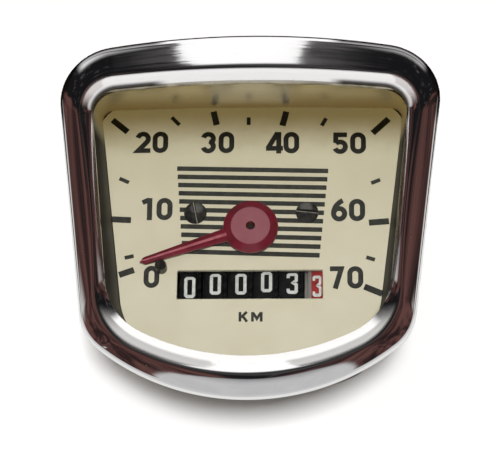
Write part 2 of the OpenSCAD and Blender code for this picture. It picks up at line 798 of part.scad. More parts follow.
module top_bridge() {
  color("lightslategray")
    translate([0, 0, bridge_z])
      linear_extrude(height = bridge_t)
        difference() {
          union() {
            translate([-post_x, bridge_low]) square([2 * post_x, bridge_high - bridge_low]);
            for (s = [-1, 1])
              translate([s * post_x, post_y]) circle(r = bridge_end_r);
          }
          circle(r = pivot_bush_r + fit_gap);
          for (s = [-1, 1]) {
            translate([s * post_x, post_y]) circle(r = bridge_screw_r + fit_gap);
            translate([s * dial_screw_x, dial_screw_y]) circle(r = pillar_spigot_r + fit_gap);
          }
        }
}

module bridge_screws() {
  color("darkslategray")
    for (s = [-1, 1])
      translate([s * post_x, post_y, bridge_top])
        slotted_screw(bridge_screw_r, bridge_t + tapped_depth - 1, post_r - 0.2, 1.4, 30 * s);
}

module pivot_bush() {
  color("goldenrod") tube(pivot_bush_r, arbor_r + 0.8 * run_gap, arm_z - 0.1, bridge_top - arm_z + 0.6);
}

module regulator_arm() {
  arm_w = 1.6;
  ring_r = pivot_bush_r + 1.3;
  color("goldenrod")
    difference() {
      union() {
        translate([0, 0, arm_z]) cylinder(r = ring_r, h = arm_t);
        rotate([0, 0, arm_angle]) {
          translate([0, -arm_w / 2, arm_z]) cube([arm_pin_at, arm_w, arm_t]);
          translate([arm_pin_at, 0, arm_z]) cylinder(r = arm_w / 2, h = arm_t);
          translate([arm_pin_at, 0, hairspring_z - 0.2])
            cylinder(r = arm_pin_r, h = bridge_z - hairspring_z + 0.2);
        }
      }
      translate([0, 0, arm_z - 1]) cylinder(r = pivot_bush_r + fit_gap, h = arm_t + 2);
    }
}

// Drive socket and drive group

module drive_collar() {
  color("darkgray")
    difference() {
      union() {
        translate([0, 0, -collar_len]) cylinder(r = collar_r, h = collar_len);
        cylinder(r = spigot_r, h = frame_top);
      }
      translate([0, 0, -collar_len - 1]) cylinder(r = cable_bore_r, h = cable_bore_len + 1);
      translate([0, 0, -collar_len]) cylinder(r = bush_r + fit_gap, h = collar_len + frame_top + 1);
    }
}

module shaft_bush() {
  color("peru")
    difference() {
      union() {
        translate([0, 0, shaft_end]) cylinder(r = bush_r, h = frame_top - shaft_end);
        translate([0, 0, frame_top]) cylinder(r = bush_flange_r, h = bush_top - frame_top);
      }
      translate([0, 0, shaft_end - 1]) cylinder(r = drive_r + run_gap, h = bush_top - shaft_end + 2);
    }
}

module drive_shaft() {
  thrust_r = bush_r - 0.2;
  color("lightsteelblue")
    difference() {
      union() {
        translate([0, 0, shaft_end]) cylinder(r = drive_r, h = magnet_z - shaft_end);
        translate([0, 0, bush_top + run_gap]) cylinder(r = thrust_r, h = thrust_h);
        translate([0, 0, cross_z]) worm(starts_1, module_1, worm_1_r, 0);
        translate([0, 0, magnet_z]) cylinder(r = spindle_r, h = drive_top - magnet_z);
      }
      translate([0, 0, drive_top - pivot_depth]) cylinder(r = pivot_r + run_gap, h = pivot_depth + 1);
      translate([-square_w / 2, -square_w / 2, shaft_end - 1]) cube([square_w, square_w, square_depth + 1]);
    }
}

module keeper_cup() {
  color("slategray") {
    tube(keeper_r, drive_r, keeper_z, keeper_wall);
    tube(keeper_r, keeper_in_r, magnet_z, keeper_top - magnet_z);
  }
}

module magnet() {
  color("dimgray") tube(magnet_r, spindle_r, magnet_z, magnet_h);
}

// Reduction train: each wheel meets its worm with a tooth in the middle of a gap

module cross_shaft() {
  left = -wheel_w / 2 - ear_gap - ear_t;
  color("lightsteelblue")
    union() {
      along_x([left, cross_y, cross_z]) cylinder(r = layshaft_r, h = bracket_right + bracket_t - left);
      along_x([0, cross_y, cross_z]) wheel(teeth_1, module_1, wheel_w);
      along_x([upright_x, cross_y, cross_z]) worm(starts_2, module_2, worm_2_pitch_r, 180);
    }
}

module upright_shaft() {
  low = frame_z + 0.2;
  color("lightsteelblue")
    translate([upright_x, upright_y, 0])
      union() {
        translate([0, 0, low]) cylinder(r = layshaft_r, h = ear_z + bracket_t - low);
        translate([0, 0, frame_top + run_gap]) cylinder(r = layshaft_r + 0.6, h = 0.6);
        translate([0, 0, cross_z]) wheel(teeth_2, module_2, wheel_w, -90);
        translate([0, 0, drum_z]) worm(starts_3, module_2, worm_3_r, 0);
      }
}

// Odometer

module side_plate(x) {
  front = cross_y + bracket_reach;
  axle_y = -drum_drop;
  top = drum_z + bracket_reach;
  along_x([x, 0, 0])
    linear_extrude(height = bracket_t)
      polygon([
        [strip_back, frame_top], [front, frame_top], [front, cross_z + bracket_reach],
        [axle_y + bracket_reach, top], [axle_y - bracket_reach, top],
        [bracket_back, pinion_z + bracket_reach], [bracket_back, pinion_z - bracket_reach]
      ]);
}

module odometer_bracket() {
  width = bracket_right + bracket_t - bracket_left;
  holes = [
    [[-drum_drop, drum_z], axle_r + fit_gap],
    [[pinion_y, pinion_z], pinion_shaft_r + fit_gap],
    [[cross_y, cross_z], layshaft_r + run_gap]
  ];
  color("silver")
    difference() {
      union() {
        side_plate(bracket_left);
        side_plate(bracket_right);
        translate([bracket_left, strip_back, frame_top]) cube([width, strip_front - strip_back, bracket_t]);
        translate([bracket_right, upright_y - ear_half, frame_top])
          cube([bracket_t, 2 * ear_half, ear_z + bracket_t - frame_top]);
        translate([upright_x, upright_y - ear_half, ear_z])
          cube([bracket_right - upright_x, 2 * ear_half, bracket_t]);
        translate([upright_x, upright_y, ear_z]) cylinder(r = ear_half, h = bracket_t);
      }
      for (h = holes)
        along_x([bracket_left - 1, h[0][0], h[0][1]]) cylinder(r = h[1], h = width + 2);
      translate([upright_x, upright_y, ear_z - 0.5]) cylinder(r = layshaft_r + run_gap, h = bracket_t + 1);
      for (x = bracket_screw_x)
        translate([x, bracket_screw_y, frame_top - 1]) cylinder(r = bracket_screw_r + fit_gap, h = bracket_t + 2);
    }
}

module bracket_screws() {
  color("darkslategray")
    for (x = bracket_screw_x)
      translate([x, bracket_screw_y, frame_top + bracket_t])
        slotted_screw(bracket_screw_r, bracket_t + frame_t - 0.2, 2 * bracket_screw_r, 1.2, x);
}

module odometer_axle() {
  color("lightsteelblue")
    along_x([bracket_left - pin_end, -drum_drop, drum_z])
      cylinder(r = axle_r, h = bracket_right - bracket_left + bracket_t + 2 * pin_end);
}

module pinion_shaft() {
  color("lightsteelblue")
    along_x([bracket_left - pin_end, pinion_y, pinion_z])
      cylinder(r = pinion_shaft_r, h = bracket_right - bracket_left + bracket_t + 2 * pin_end);
}

// One drum about the local Z axis: rim, web and hub, with its gear on the right and its carry disc on the left
module drum(gear, carry, hub_left, hub_right) {
  bore = axle_r + run_gap;
  difference() {
    union() {
      children();
      tube(drum_r, drum_r - drum_wall, -band_w / 2, band_w);
      translate([0, 0, -drum_web / 2]) cylinder(r = drum_r - drum_wall / 2, h = drum_web);
      translate([0, 0, -hub_left]) cylinder(r = drum_hub_r, h = hub_left + hub_right);
      if (gear)
        translate([0, 0, band_w / 2 + gear_w / 2])
          linear_extrude(height = gear_w, center = true)
            polygon(carry_wheel(carry_teeth, carry_r));
      if (carry) {
        translate([0, 0, -band_w / 2 - lock_w]) cylinder(r = lock_r, h = lock_w);
        for (a = [-9, 9])
          rotate([0, 0, a])
            translate([lock_r - 1, -carry_module / 2, -band_w / 2 - lock_w])
              cube([1 + lock_tooth, carry_module, lock_w]);
      }
    }
    translate([0, 0, -hub_left - 1]) cylinder(r = bore, h = hub_left + hub_right + 2);
  }
}

function carry_wheel(teeth, r) = wheel_points(teeth, r - carry_root * carry_module, r + carry_tip * carry_module,
  1.5 * carry_module, 0.75 * carry_module);

module place_drum(k, gear = true, carry = true, hub_right = drum_hub_w / 2) {
  color(k < drum_count - 1 ? "black" : "firebrick")
    along_x([drum_x[k], -drum_drop, drum_z])
      drum(gear, carry, drum_hub_w / 2, hub_right) children();
}

module drum_ten_thousands() { place_drum(0, carry = false); }
module drum_thousands() { place_drum(1); }
module drum_hundreds() { place_drum(2); }
module drum_tens() { place_drum(3); }
module drum_units() { place_drum(4); }

module drum_tenths() {
  reach = bracket_right - drum_x[drum_count - 1] - 0.2;
  place_drum(drum_count - 1, gear = false, hub_right = reach)
    translate([0, 0, upright_x - drum_x[drum_count - 1]]) wheel(teeth_3, module_2, wheel_w);
}

// A transfer pinion turns beside drum k: full teeth in its gear, a plain hub beside the next drum's carry disc
module transfer_pinion(k) {
  side_gap = 0.1;
  gear_at = band_w / 2 + side_gap;
  hub_at = gear_at + gear_w - side_gap;
  hub_end = drum_pitch - band_w / 2 - side_gap;
  color("dimgray")
    along_x([drum_x[k], pinion_y, pinion_z])
      difference() {
        union() {
          translate([0, 0, gear_at]) linear_extrude(height = hub_at - gear_at)
            polygon(carry_wheel(pinion_teeth, pinion_r));
          translate([0, 0, hub_at]) cylinder(r = pinion_lock_r, h = hub_end - hub_at);
        }
        translate([0, 0, gear_at - 1]) cylinder(r = pinion_shaft_r + run_gap, h = hub_end - gear_at + 2);
      }
}

// Mounting hardware behind the case

module stud_places() {
  for (s = [-1, 1])
    translate([s * stud_x, stud_y, 0]) children();
}

module mounting_studs() {
  root_z = -washer_t - nut_h - stud_step_gap;
  step_z = root_z - stud_step_h;
  color("lightsteelblue")
    stud_places() {
      translate([0, 0, -stud_len]) cylinder(r = stud_r, h = stud_len + step_z);
      translate([0, 0, step_z]) cylinder(r1 = stud_r, r2 = stud_root_r, h = stud_step_h);
      translate([0, 0, root_z]) cylinder(r = stud_root_r, h = frame_top - root_z);
      translate([0, 0, frame_top]) cylinder(r = stud_head_r, h = stud_head_h);
    }
}

module stud_washers() {
  color("silver") stud_places() tube(2 * stud_root_r, stud_root_r + fit_gap, -washer_t, washer_t);
}

module stud_nuts() {
  color("silver")
    stud_places()
      translate([0, 0, -washer_t - nut_h])
        difference() {
          cylinder(r = nut_flats / sqrt(3), h = nut_h, $fn = 6);
          translate([0, 0, -1]) cylinder(r = stud_root_r + fit_gap, h = nut_h + 2);
        }
}

bezel();
lens();
lens_gasket();
spacer_ring();
case_gasket();
housing();
dial();
dial_screws();
dial_pillars();
stop_pin();
pointer();
pointer_bush();
pointer_arbor();
drag_cup();
hairspring_collet();
hairspring();
movement_frame();
top_bridge();
bridge_screws();
pivot_bush();
regulator_arm();
drive_collar();
shaft_bush();
drive_shaft();
keeper_cup();
magnet();
cross_shaft();
upright_shaft();
odometer_bracket();
bracket_screws();
odometer_axle();
pinion_shaft();
drum_ten_thousands();
drum_thousands();
drum_hundreds();
drum_tens();
drum_units();
drum_tenths();
transfer_pinion(0);  // transfer_pinion_1
transfer_pinion(1);  // transfer_pinion_2
transfer_pinion(2);  // transfer_pinion_3
transfer_pinion(3);  // transfer_pinion_4
transfer_pinion(4);  // transfer_pinion_5
mounting_studs();
stud_washers();
stud_nuts();
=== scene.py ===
"""Looks of a moped speedometer with a shield-shaped chromed bezel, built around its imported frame."""
import json
import logging
import math
from dataclasses import dataclass, replace
from enum import Enum
from typing import Any, Callable, Sequence, Union

import bmesh
import bpy
import numpy as np
from mathutils import Matrix, Vector


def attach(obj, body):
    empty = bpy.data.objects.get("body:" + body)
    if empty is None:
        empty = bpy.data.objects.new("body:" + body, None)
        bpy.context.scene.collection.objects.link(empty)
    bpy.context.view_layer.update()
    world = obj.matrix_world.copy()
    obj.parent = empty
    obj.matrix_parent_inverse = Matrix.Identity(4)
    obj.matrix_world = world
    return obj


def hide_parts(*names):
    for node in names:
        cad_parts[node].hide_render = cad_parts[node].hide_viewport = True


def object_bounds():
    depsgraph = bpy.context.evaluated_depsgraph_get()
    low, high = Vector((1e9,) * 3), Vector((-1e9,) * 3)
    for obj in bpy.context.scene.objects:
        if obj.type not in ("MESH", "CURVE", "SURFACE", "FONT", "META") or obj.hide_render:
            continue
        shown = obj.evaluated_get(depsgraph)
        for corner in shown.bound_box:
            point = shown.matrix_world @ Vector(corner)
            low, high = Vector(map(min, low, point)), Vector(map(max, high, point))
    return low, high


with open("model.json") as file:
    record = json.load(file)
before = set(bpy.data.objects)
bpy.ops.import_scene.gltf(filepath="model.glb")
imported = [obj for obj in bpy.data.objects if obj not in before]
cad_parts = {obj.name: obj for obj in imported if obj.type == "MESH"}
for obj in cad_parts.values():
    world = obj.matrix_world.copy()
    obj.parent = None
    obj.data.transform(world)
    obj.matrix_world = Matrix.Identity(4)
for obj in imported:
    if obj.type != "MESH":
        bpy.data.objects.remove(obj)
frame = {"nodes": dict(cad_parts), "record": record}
cad_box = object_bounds()
log = logging.getLogger("speedometer")

MM = 0.001
DIAL_Z = 37.0
LAYER = 0.002
Array = np.ndarray
Span = tuple[float, float]
Triple = tuple[float, float, float]
Colour = Triple
Place = Callable[[Array], Array]


# Shader graphs


class Value:
    """A shader socket on which Python operators add Math nodes."""

    def __init__(self, graph: "Graph", socket: bpy.types.NodeSocket) -> None:
        """Keep the socket and the graph it belongs to."""
        self.graph = graph
        self.socket = socket

    def math(self, operation: str, *others: "Number") -> "Value":
        """Apply a Math node to this value and the others."""
        inputs = dict(enumerate((self, *others)))
        return self.graph.node("ShaderNodeMath", {"operation": operation}, inputs)

    def __add__(self, other: "Number") -> "Value":
        """Sum."""
        return self.math("ADD", other)

    __radd__ = __add__

    def __mul__(self, other: "Number") -> "Value":
        """Product."""
        return self.math("MULTIPLY", other)

    __rmul__ = __mul__

    def __sub__(self, other: "Number") -> "Value":
        """Difference."""
        return self.math("SUBTRACT", other)

    def __rsub__(self, other: float) -> "Value":
        """Difference with this value taken away."""
        return self * -1.0 + other

    def __truediv__(self, other: "Number") -> "Value":
        """Quotient."""
        return self.math("DIVIDE", other)

    def __abs__(self) -> "Value":
        """Size without sign."""
        return self.math("ABSOLUTE")

    def at_least(self, other: "Number") -> "Value":
        """The larger of this value and the other."""
        return self.math("MAXIMUM", other)

    def at_most(self, other: "Number") -> "Value":
        """The smaller of this value and the other."""
        return self.math("MINIMUM", other)

    def step(self, low: float, high: float) -> "Value":
        """Rise smoothly from 0 at low to 1 at high; with low above high it falls.

        Args:
            low: Value that gives 0.
            high: Value that gives 1.

        Returns:
            The eased value between 0 and 1.
        """
        inputs = {"Value": self, "From Min": low, "From Max": high}
        return self.graph.node("ShaderNodeMapRange", {"interpolation_type": "SMOOTHSTEP"}, inputs)


Number = Union[float, Value]


class Graph:
    """A node tree with one method that adds any node."""

    def __init__(self, tree: bpy.types.NodeTree) -> None:
        """Empty the tree and keep it."""
        self.tree = tree
        tree.nodes.clear()

    def node(self, kind: str, settings: dict[str, Any], inputs: dict[Any, Any], output: Any = 0) -> Value:
        """Add a node.

        Args:
            kind: Blender's name of the node type.
            settings: Attributes of the node, set first.
            inputs: Socket name or index to a value or a linked Value.
            output: Name or index of the output to return.

        Returns:
            The chosen output.
        """
        made = self.tree.nodes.new(kind)
        for name, setting in settings.items():
            setattr(made, name, setting)
        for key, given in inputs.items():
            if isinstance(given, Value):
                self.tree.links.new(given.socket, made.inputs[key])
            else:
                made.inputs[key].default_value = given
        return Value(self, made.outputs[output]) if len(made.outputs) else Value(self, made.inputs[0])

    def object_coords(self) -> Value:
        """Object coordinates, in metres."""
        return self.node("ShaderNodeTexCoord", {}, {}, "Object")

    def scaled(self, vector: Value, by: Triple) -> Value:
        """A vector stretched along each axis."""
        return self.node("ShaderNodeVectorMath", {"operation": "MULTIPLY"}, {0: vector, 1: by})

    def axes(self, vector: Value) -> tuple[Value, Value, Value]:
        """The three parts of a vector.

        Args:
            vector: Vector to take apart.

        Returns:
            The x, y and z values.
        """
        x = self.node("ShaderNodeSeparateXYZ", {}, {0: vector})
        outs = x.socket.node.outputs
        return x, Value(self, outs[1]), Value(self, outs[2])

    def noise(self, vector: Value, scale: float, detail: float = 3.0, rough: float = 0.55) -> Value:
        """Noise between 0 and 1 with about scale features per metre."""
        inputs = {"Vector": vector, "Scale": scale, "Detail": detail, "Roughness": rough}
        return self.node("ShaderNodeTexNoise", {}, inputs)

    def blend(self, share: Number, first: Any, second: Any) -> Value:
        """A colour between first at share 0 and second at share 1."""
        inputs = {0: share, 6: self.rgba(first), 7: self.rgba(second)}
        return self.node("ShaderNodeMix", {"data_type": "RGBA"}, inputs, 2)

    @staticmethod
    def rgba(colour: Any) -> Any:
        """A colour with its alpha, or a linked colour as it is."""
        return colour if isinstance(colour, Value) else (*colour, 1.0)

    def bump(self, height: Value, depth: float, strength: float = 1.0) -> Value:
        """A normal from a height between 0 and 1 that stands for depth metres."""
        inputs = {"Height": height, "Distance": depth, "Strength": strength}
        return self.node("ShaderNodeBump", {}, inputs)

    def surface(self, inputs: dict[str, Any]) -> Value:
        """A Principled shader."""
        return self.node("ShaderNodeBsdfPrincipled", {}, inputs)

    def mixed(self, share: Number, first: Value, second: Value) -> Value:
        """A shader between first at share 0 and second at share 1."""
        return self.node("ShaderNodeMixShader", {}, {0: share, 1: first, 2: second})

    def output(self, shader: Value, kind: str = "ShaderNodeOutputMaterial") -> None:
        """Send a shader to the tree's output."""
        self.node(kind, {}, {0: shader})

    def rays(self) -> tuple[Value, Value]:
        """Whether a ray comes straight from the camera, and whether it was mirrored."""
        camera = self.node("ShaderNodeLightPath", {}, {}, "Is Camera Ray")
        return camera, Value(self, camera.socket.node.outputs["Is Glossy Ray"])


def new_material(name: str) -> tuple[bpy.types.Material, Graph]:
    """A material with an empty node tree, and its graph.

    Args:
        name: Name of the material.

    Returns:
        The material and the graph.
    """
    made = bpy.data.materials.new(name)
    made.use_nodes = True
    return made, Graph(made.node_tree)


def add_object(name: str, data: bpy.types.ID) -> bpy.types.Object:
    """An object that holds the data, linked to the scene.

    Args:
        name: Name of the object.
        data: Mesh, light or camera.

    Returns:
        The object.
    """
    made = bpy.data.objects.new(name, data)
    bpy.context.scene.collection.objects.link(made)
    return made


class Grain(Enum):
    """How a finish breaks up at close range."""

    CAST = "cast"
    GROUND = "ground"
    ENAMEL = "enamel"
    MOULDED = "moulded"
    POLISHED = "polished"


@dataclass(frozen=True)
class GrainSizes:
    """Scale of a grain, its stretch along each axis, and the depth of its relief in metres."""

    scale: float
    stretch: Triple
    depth: float


GRAINS = {
    Grain.CAST: GrainSizes(2600.0, (1.0, 1.0, 1.0), 3.0e-5),
    Grain.GROUND: GrainSizes(1500.0, (1.0, 1.0, 7.0), 4.0e-6),
    Grain.ENAMEL: GrainSizes(900.0, (1.0, 1.0, 1.0), 6.0e-6),
    Grain.MOULDED: GrainSizes(3200.0, (1.0, 1.0, 1.0), 8.0e-6),
    Grain.POLISHED: GrainSizes(140.0, (1.0, 1.0, 1.0), 1.2e-5),
}


@dataclass(frozen=True)
class Finish:
    """A finish that varies between a clean and a worn colour, with a grain in its relief and gloss."""

    name: str
    clean: Colour
    worn: Colour
    rough: float
    metallic: float = 0.0
    grain: Grain = Grain.MOULDED
    spread: float = 0.12
    patch: float = 220.0
    coat: float = 0.0
    specular: float = 0.5
    wear: Span = (0.36, 0.7)

    def material(self) -> bpy.types.Material:
        """Build the material once and reuse it.

        Returns:
            The material, painted by the finish's own graph.
        """
        label = f"{self.name}_finish"
        known = bpy.data.materials.get(label)
        if known:
            return known
        made, graph = new_material(label)
        graph.output(self.paint(graph))
        made.diffuse_color = (*self.clean, 1.0)
        return made

    def mottled(self, graph: Graph, noise: Value) -> Value:
        """The clean colour where a noise is low and the worn one where it is high."""
        return graph.blend(noise.step(*self.wear), self.clean, self.worn)

    def gloss(self, grain: Value) -> Value:
        """Roughness that a grain spreads about its mean."""
        return grain * self.spread + (self.rough - self.spread / 2)

    def paint(self, graph: Graph) -> Value:
        """Colour by broad patches, gloss and relief by the grain.

        Args:
            graph: Node tree of the material.

        Returns:
            The shader.
        """
        coords = graph.object_coords()
        sizes = GRAINS[self.grain]
        patches = graph.noise(coords, self.patch, 5.0, 0.6)
        fine = graph.noise(graph.scaled(coords, sizes.stretch), sizes.scale, 4.0, 0.6)
        inputs = {
            "Base Color": self.mottled(graph, patches * 0.7 + fine * 0.3),
            "Roughness": self.gloss(fine),
            "Normal": graph.bump(fine, sizes.depth),
            "Metallic": self.metallic,
            "Specular IOR Level": self.specular,
            "Coat Weight": self.coat,
            "Coat Roughness": 0.08,
        }
        return graph.surface(inputs)


@dataclass(frozen=True)
class DialEnamel(Finish):
    """Cream dial enamel: mottled and sparsely specked, with painted shade growing upwards and a painted
    shadow under the upper rim.
    """

    speck: Colour = (0.2, 0.15, 0.08)
    # Painted shade that grows upwards over the dial and a painted shadow under the upper rim, with the
    # heights over which they grow.
    upward_shade: Colour = (0.4, 0.34, 0.19)
    rim_shadow: Colour = (0.19, 0.14, 0.055)
    upward_shade_y: Span = (-0.016, 0.026)
    rim_shadow_y: Span = (0.0155, 0.026)
    patch: float = 90.0
    spread: float = 0.14
    wear: Span = (0.3, 0.75)
    speck_scale: float = 1500.0
    peel_scale: float = 1100.0
    peel_depth: float = 8.0e-6

    def paint(self, graph: Graph) -> Value:
        """Mottled cream with specks where a fine noise peaks, and two painted shades that grow with height.

        Args:
            graph: Node tree of the material.

        Returns:
            The shader.
        """
        coords = graph.object_coords()
        mottle = graph.noise(coords, self.patch, 6.0, 0.65).step(*self.wear)
        specks = graph.noise(coords, self.speck_scale, 2.0, 0.5).step(0.735, 0.8)
        up = graph.axes(coords)[1] + mottle * 0.001
        cream = graph.blend(mottle, self.clean, self.worn)
        # Painted shade: the cream darkens gradually towards the top of the dial.
        cream = graph.blend(up.step(*self.upward_shade_y) * 0.4, cream, self.upward_shade)
        # Painted shadow: a darker band on the dial under the upper rim.
        cream = graph.blend(up.step(*self.rim_shadow_y), cream, self.rim_shadow)
        peel = graph.noise(coords, self.peel_scale, 2.0)
        inputs = {
            "Base Color": graph.blend(specks * 0.5, cream, self.speck),
            "Roughness": self.gloss(mottle),
            "Normal": graph.bump(peel, self.peel_depth),
            "Specular IOR Level": 0.35,
        }
        return graph.surface(inputs)


@dataclass(frozen=True)
class DialInk(Finish):
    """Matt black print, darkest where the upper rim shades the dial."""

    deep: Colour = (0.006, 0.0045, 0.0015)
    deep_y: Span = (0.012, 0.0225)
    patch: float = 700.0
    wear: Span = (0.3, 0.75)
    relief: float = 4.0e-6

    def paint(self, graph: Graph) -> Value:
        """Patchy black that deepens with height on the dial.

        Args:
            graph: Node tree of the material.

        Returns:
            The shader.
        """
        coords = graph.object_coords()
        patches = graph.noise(coords, self.patch, 4.0)
        ink = self.mottled(graph, patches)
        inputs = {
            "Base Color": graph.blend(graph.axes(coords)[1].step(*self.deep_y), ink, self.deep),
            "Roughness": self.gloss(patches),
            "Normal": graph.bump(patches, self.relief),
            "Specular IOR Level": 0.1,
        }
        return graph.surface(inputs)


@dataclass(frozen=True)
class WornChrome(Finish):
    """Polished chrome: wavy, scratched and pitted, with a dark reflection painted on its top corners and a
    share of cloudiness.
    """

    # Colour painted on the top corners of the outer roll as a dark reflection.
    painted_dark_reflection: Colour = (0.06, 0.055, 0.055)
    cloudy: float = 0.0
    ends_y: Span = (0.026, 0.029)
    corner_x: Span = (0.017, 0.021)
    corner_y: Span = (0.016, 0.021)
    corner_z: Span = (0.0505, 0.0499)
    cloud_low_y: Span = (-0.0185, -0.0245)
    cloud_high_y: Span = (0.0205, 0.0245)
    cloud_z: Span = (0.05128, 0.05112)
    wave_scale: float = 130.0
    wave_depth: float = 2.2e-5
    scratch_scale: float = 2600.0
    pit_scale: float = 1250.0
    haze_scale: float = 70.0

    def paint(self, graph: Graph) -> Value:
        """A mirror whose relief bends reflections a little and whose pits are rough and brown.

        Args:
            graph: Node tree of the material.

        Returns:
            The shader.
        """
        coords = graph.object_coords()
        wave = graph.noise(coords, self.wave_scale, 1.5, 0.4)
        upright = graph.scaled(coords, (1.0, 0.05, 1.0))
        level_run = graph.scaled(coords, (0.035, 1.0, 1.0))
        along = graph.noise(upright, self.scratch_scale, 2.0).step(0.64, 0.8)
        across = graph.noise(level_run, self.scratch_scale, 3.0).step(0.67, 0.76)
        x, y, z = graph.axes(coords)
        ends = abs(y).step(*self.ends_y)
        scratches = along * (1.0 - ends) + across * ends
        pits = graph.noise(coords, self.pit_scale, 3.0).step(0.735, 0.78)
        haze = graph.noise(coords, self.haze_scale, 4.0)
        # Painted reflection: the top corners of the outer roll are painted dark, as if they mirrored the dark
        # room.
        corner = (abs(x) + haze * 0.004).step(*self.corner_x) * y.step(*self.corner_y)
        plate_with_dark_reflection = graph.blend(corner * z.step(*self.corner_z), self.clean, self.painted_dark_reflection)
        dull = (y + haze * 0.002).step(*self.cloud_low_y).at_least(y.step(*self.cloud_high_y))
        dull = dull * z.step(*self.cloud_z)
        inputs = {
            "Base Color": graph.blend(pits * 0.7 + scratches * 0.16, plate_with_dark_reflection, self.worn),
            "Metallic": dull * -self.cloudy + self.metallic,
            "Roughness": haze * 0.05 + scratches * 0.05 + pits * 0.3 + (self.rough - 0.025),
            "Normal": graph.bump(wave, self.wave_depth),
        }
        return graph.surface(inputs)


@dataclass(frozen=True)
class WellMetal(Finish):
    """Satin wall of the well: olive with a painted highlight in the middle at the top, painted shade low down
    and dark painted shade on the sides.
    """

    # Painted shade on the sides, a painted highlight on the upper wall, and the heights and widths where they
    # fall.
    painted_side_shade: Colour = (0.012, 0.012, 0.011)
    grey: Colour = (0.085, 0.083, 0.073)
    painted_highlight: Colour = (1.0, 0.97, 0.9)
    olive_z: Span = (0.0365, 0.046)
    top_y: Span = (0.018, 0.024)
    highlight_x: Span = (0.0105, 0.0075)
    highlight_z: Span = (0.0375, 0.0405)
    grey_z: Span = (0.0455, 0.0395)
    foot_z: Span = (0.0373, 0.0382)
    patch: float = 160.0
    relief: float = 1.0e-5
    side_rough: float = 0.3

    def paint(self, graph: Graph) -> Value:
        """Colour by height above the dial with painted shade low down, then painted shade where the wall runs
        down the sides.

        Args:
            graph: Node tree of the material.

        Returns:
            The shader.
        """
        coords = graph.object_coords()
        x, y, z = graph.axes(coords)
        patches = graph.noise(coords, self.patch, 4.0)
        # Painted shade: the olive darkens from clean to worn towards the foot of the wall, where it meets the
        # dial.
        height = (z + patches * 0.003).step(*self.olive_z)
        olive = graph.blend(height, self.worn, self.clean)
        top = (y + patches * 0.002).step(*self.top_y)
        # Painted highlight: a bright patch in the middle of the upper wall.
        highlight_mask = (abs(x) + patches * 0.002).step(*self.highlight_x) * z.step(*self.highlight_z)
        olive = graph.blend(highlight_mask, olive, self.painted_highlight)
        # Painted shade on the sides: dark, greyer in a band a little above the dial.
        lower = (z + patches * 0.0025).step(*self.grey_z) * z.step(*self.foot_z)
        inputs = {
            "Base Color": graph.blend(top, graph.blend(lower, self.painted_side_shade, self.grey), olive),
            "Roughness": self.gloss(patches) + (1.0 - top) * self.side_rough,
            "Metallic": top * self.metallic,
            "Specular IOR Level": 0.08,
            "Normal": graph.bump(patches, self.relief),
        }
        return graph.surface(inputs)


@dataclass(frozen=True)
class RedWithPaintedSheen(Finish):
    """Red pointer paint with a painted pink sheen on its upper flat."""

    painted_sheen: Colour = (0.3, 0.115, 0.14)
    flat_z: float = 0.03988
    flat_step: float = 0.00004
    wear: Span = (0.35, 0.7)

    def paint(self, graph: Graph) -> Value:
        """Red in faint patches, with a painted pink sheen above the height of the hub's flat.

        Args:
            graph: Node tree of the material.

        Returns:
            The shader.
        """
        coords = graph.object_coords()
        z = graph.axes(coords)[2]
        patches = graph.noise(coords, self.patch, 4.0)
        red = self.mottled(graph, patches)
        # Painted sheen: the hub's upper flat is painted pink, as if it caught the light.
        top = z.step(self.flat_z - self.flat_step, self.flat_z)
        inputs = {
            "Base Color": graph.blend(top * (patches * 0.5 + 0.5), red, self.painted_sheen),
            "Roughness": patches * self.spread + self.rough,
            "Coat Weight": self.coat,
            "Coat Roughness": 0.1,
        }
        return graph.surface(inputs)


@dataclass(frozen=True)
class SteelWithPaintedHighlight(Finish):
    """Blackened steel, with a painted highlight near the crowns of the two dial screws."""

    crown_highlight: Colour = (0.24, 0.23, 0.23)
    crown: Span = (0.0109, 0.0045)
    reach: float = 2.6e-6
    relief: float = 2.0e-5

    def paint(self, graph: Graph) -> Value:
        """Black in faint patches, with a painted highlight that grows lighter as the squared distance from a
        screw's crown falls.

        Args:
            graph: Node tree of the material.

        Returns:
            The shader.
        """
        coords = graph.object_coords()
        x, y, _ = graph.axes(coords)
        patches = graph.noise(coords, self.patch, 4.0, 0.6)
        aside = abs(x) - self.crown[0]
        above = y - self.crown[1]
        # Painted highlight: a lighter spot painted near the crown of each screw.
        crown = (aside * aside + above * above).step(self.reach, 0.0) * (patches * 0.8 + 0.3)
        inputs = {
            "Base Color": graph.blend(crown, self.mottled(graph, patches), self.crown_highlight),
            "Roughness": self.gloss(patches),
            "Normal": graph.bump(patches, self.relief),
            "Metallic": self.metallic,
        }
        return graph.surface(inputs)


@dataclass(frozen=True)
class HalfBare(Finish):
    """Red drum paint that leaves the left strip of the drum bare."""

    bare: Colour = (0.34, 0.31, 0.29)
    edge_x: float = 0.01195
    edge_step: float = 0.0001
    wear: Span = (0.35, 0.7)

    def paint(self, graph: Graph) -> Value:
        """Bare metal left of the paint's edge, red in faint patches right of it.

        Args:
            graph: Node tree of the material.

        Returns:
            The shader.
        """
        coords = graph.object_coords()
        x = graph.axes(coords)[0]
        patches = graph.noise(coords, self.patch, 4.0)
        red = self.mottled(graph, patches)
        painted = (x + patches * self.edge_step).step(self.edge_x, self.edge_x + self.edge_step)
        inputs = {
            "Base Color": graph.blend(painted, self.bare, red),
            "Roughness": self.gloss(patches),
            "Metallic": (1.0 - painted) * 0.5,
        }
        return graph.surface(inputs)


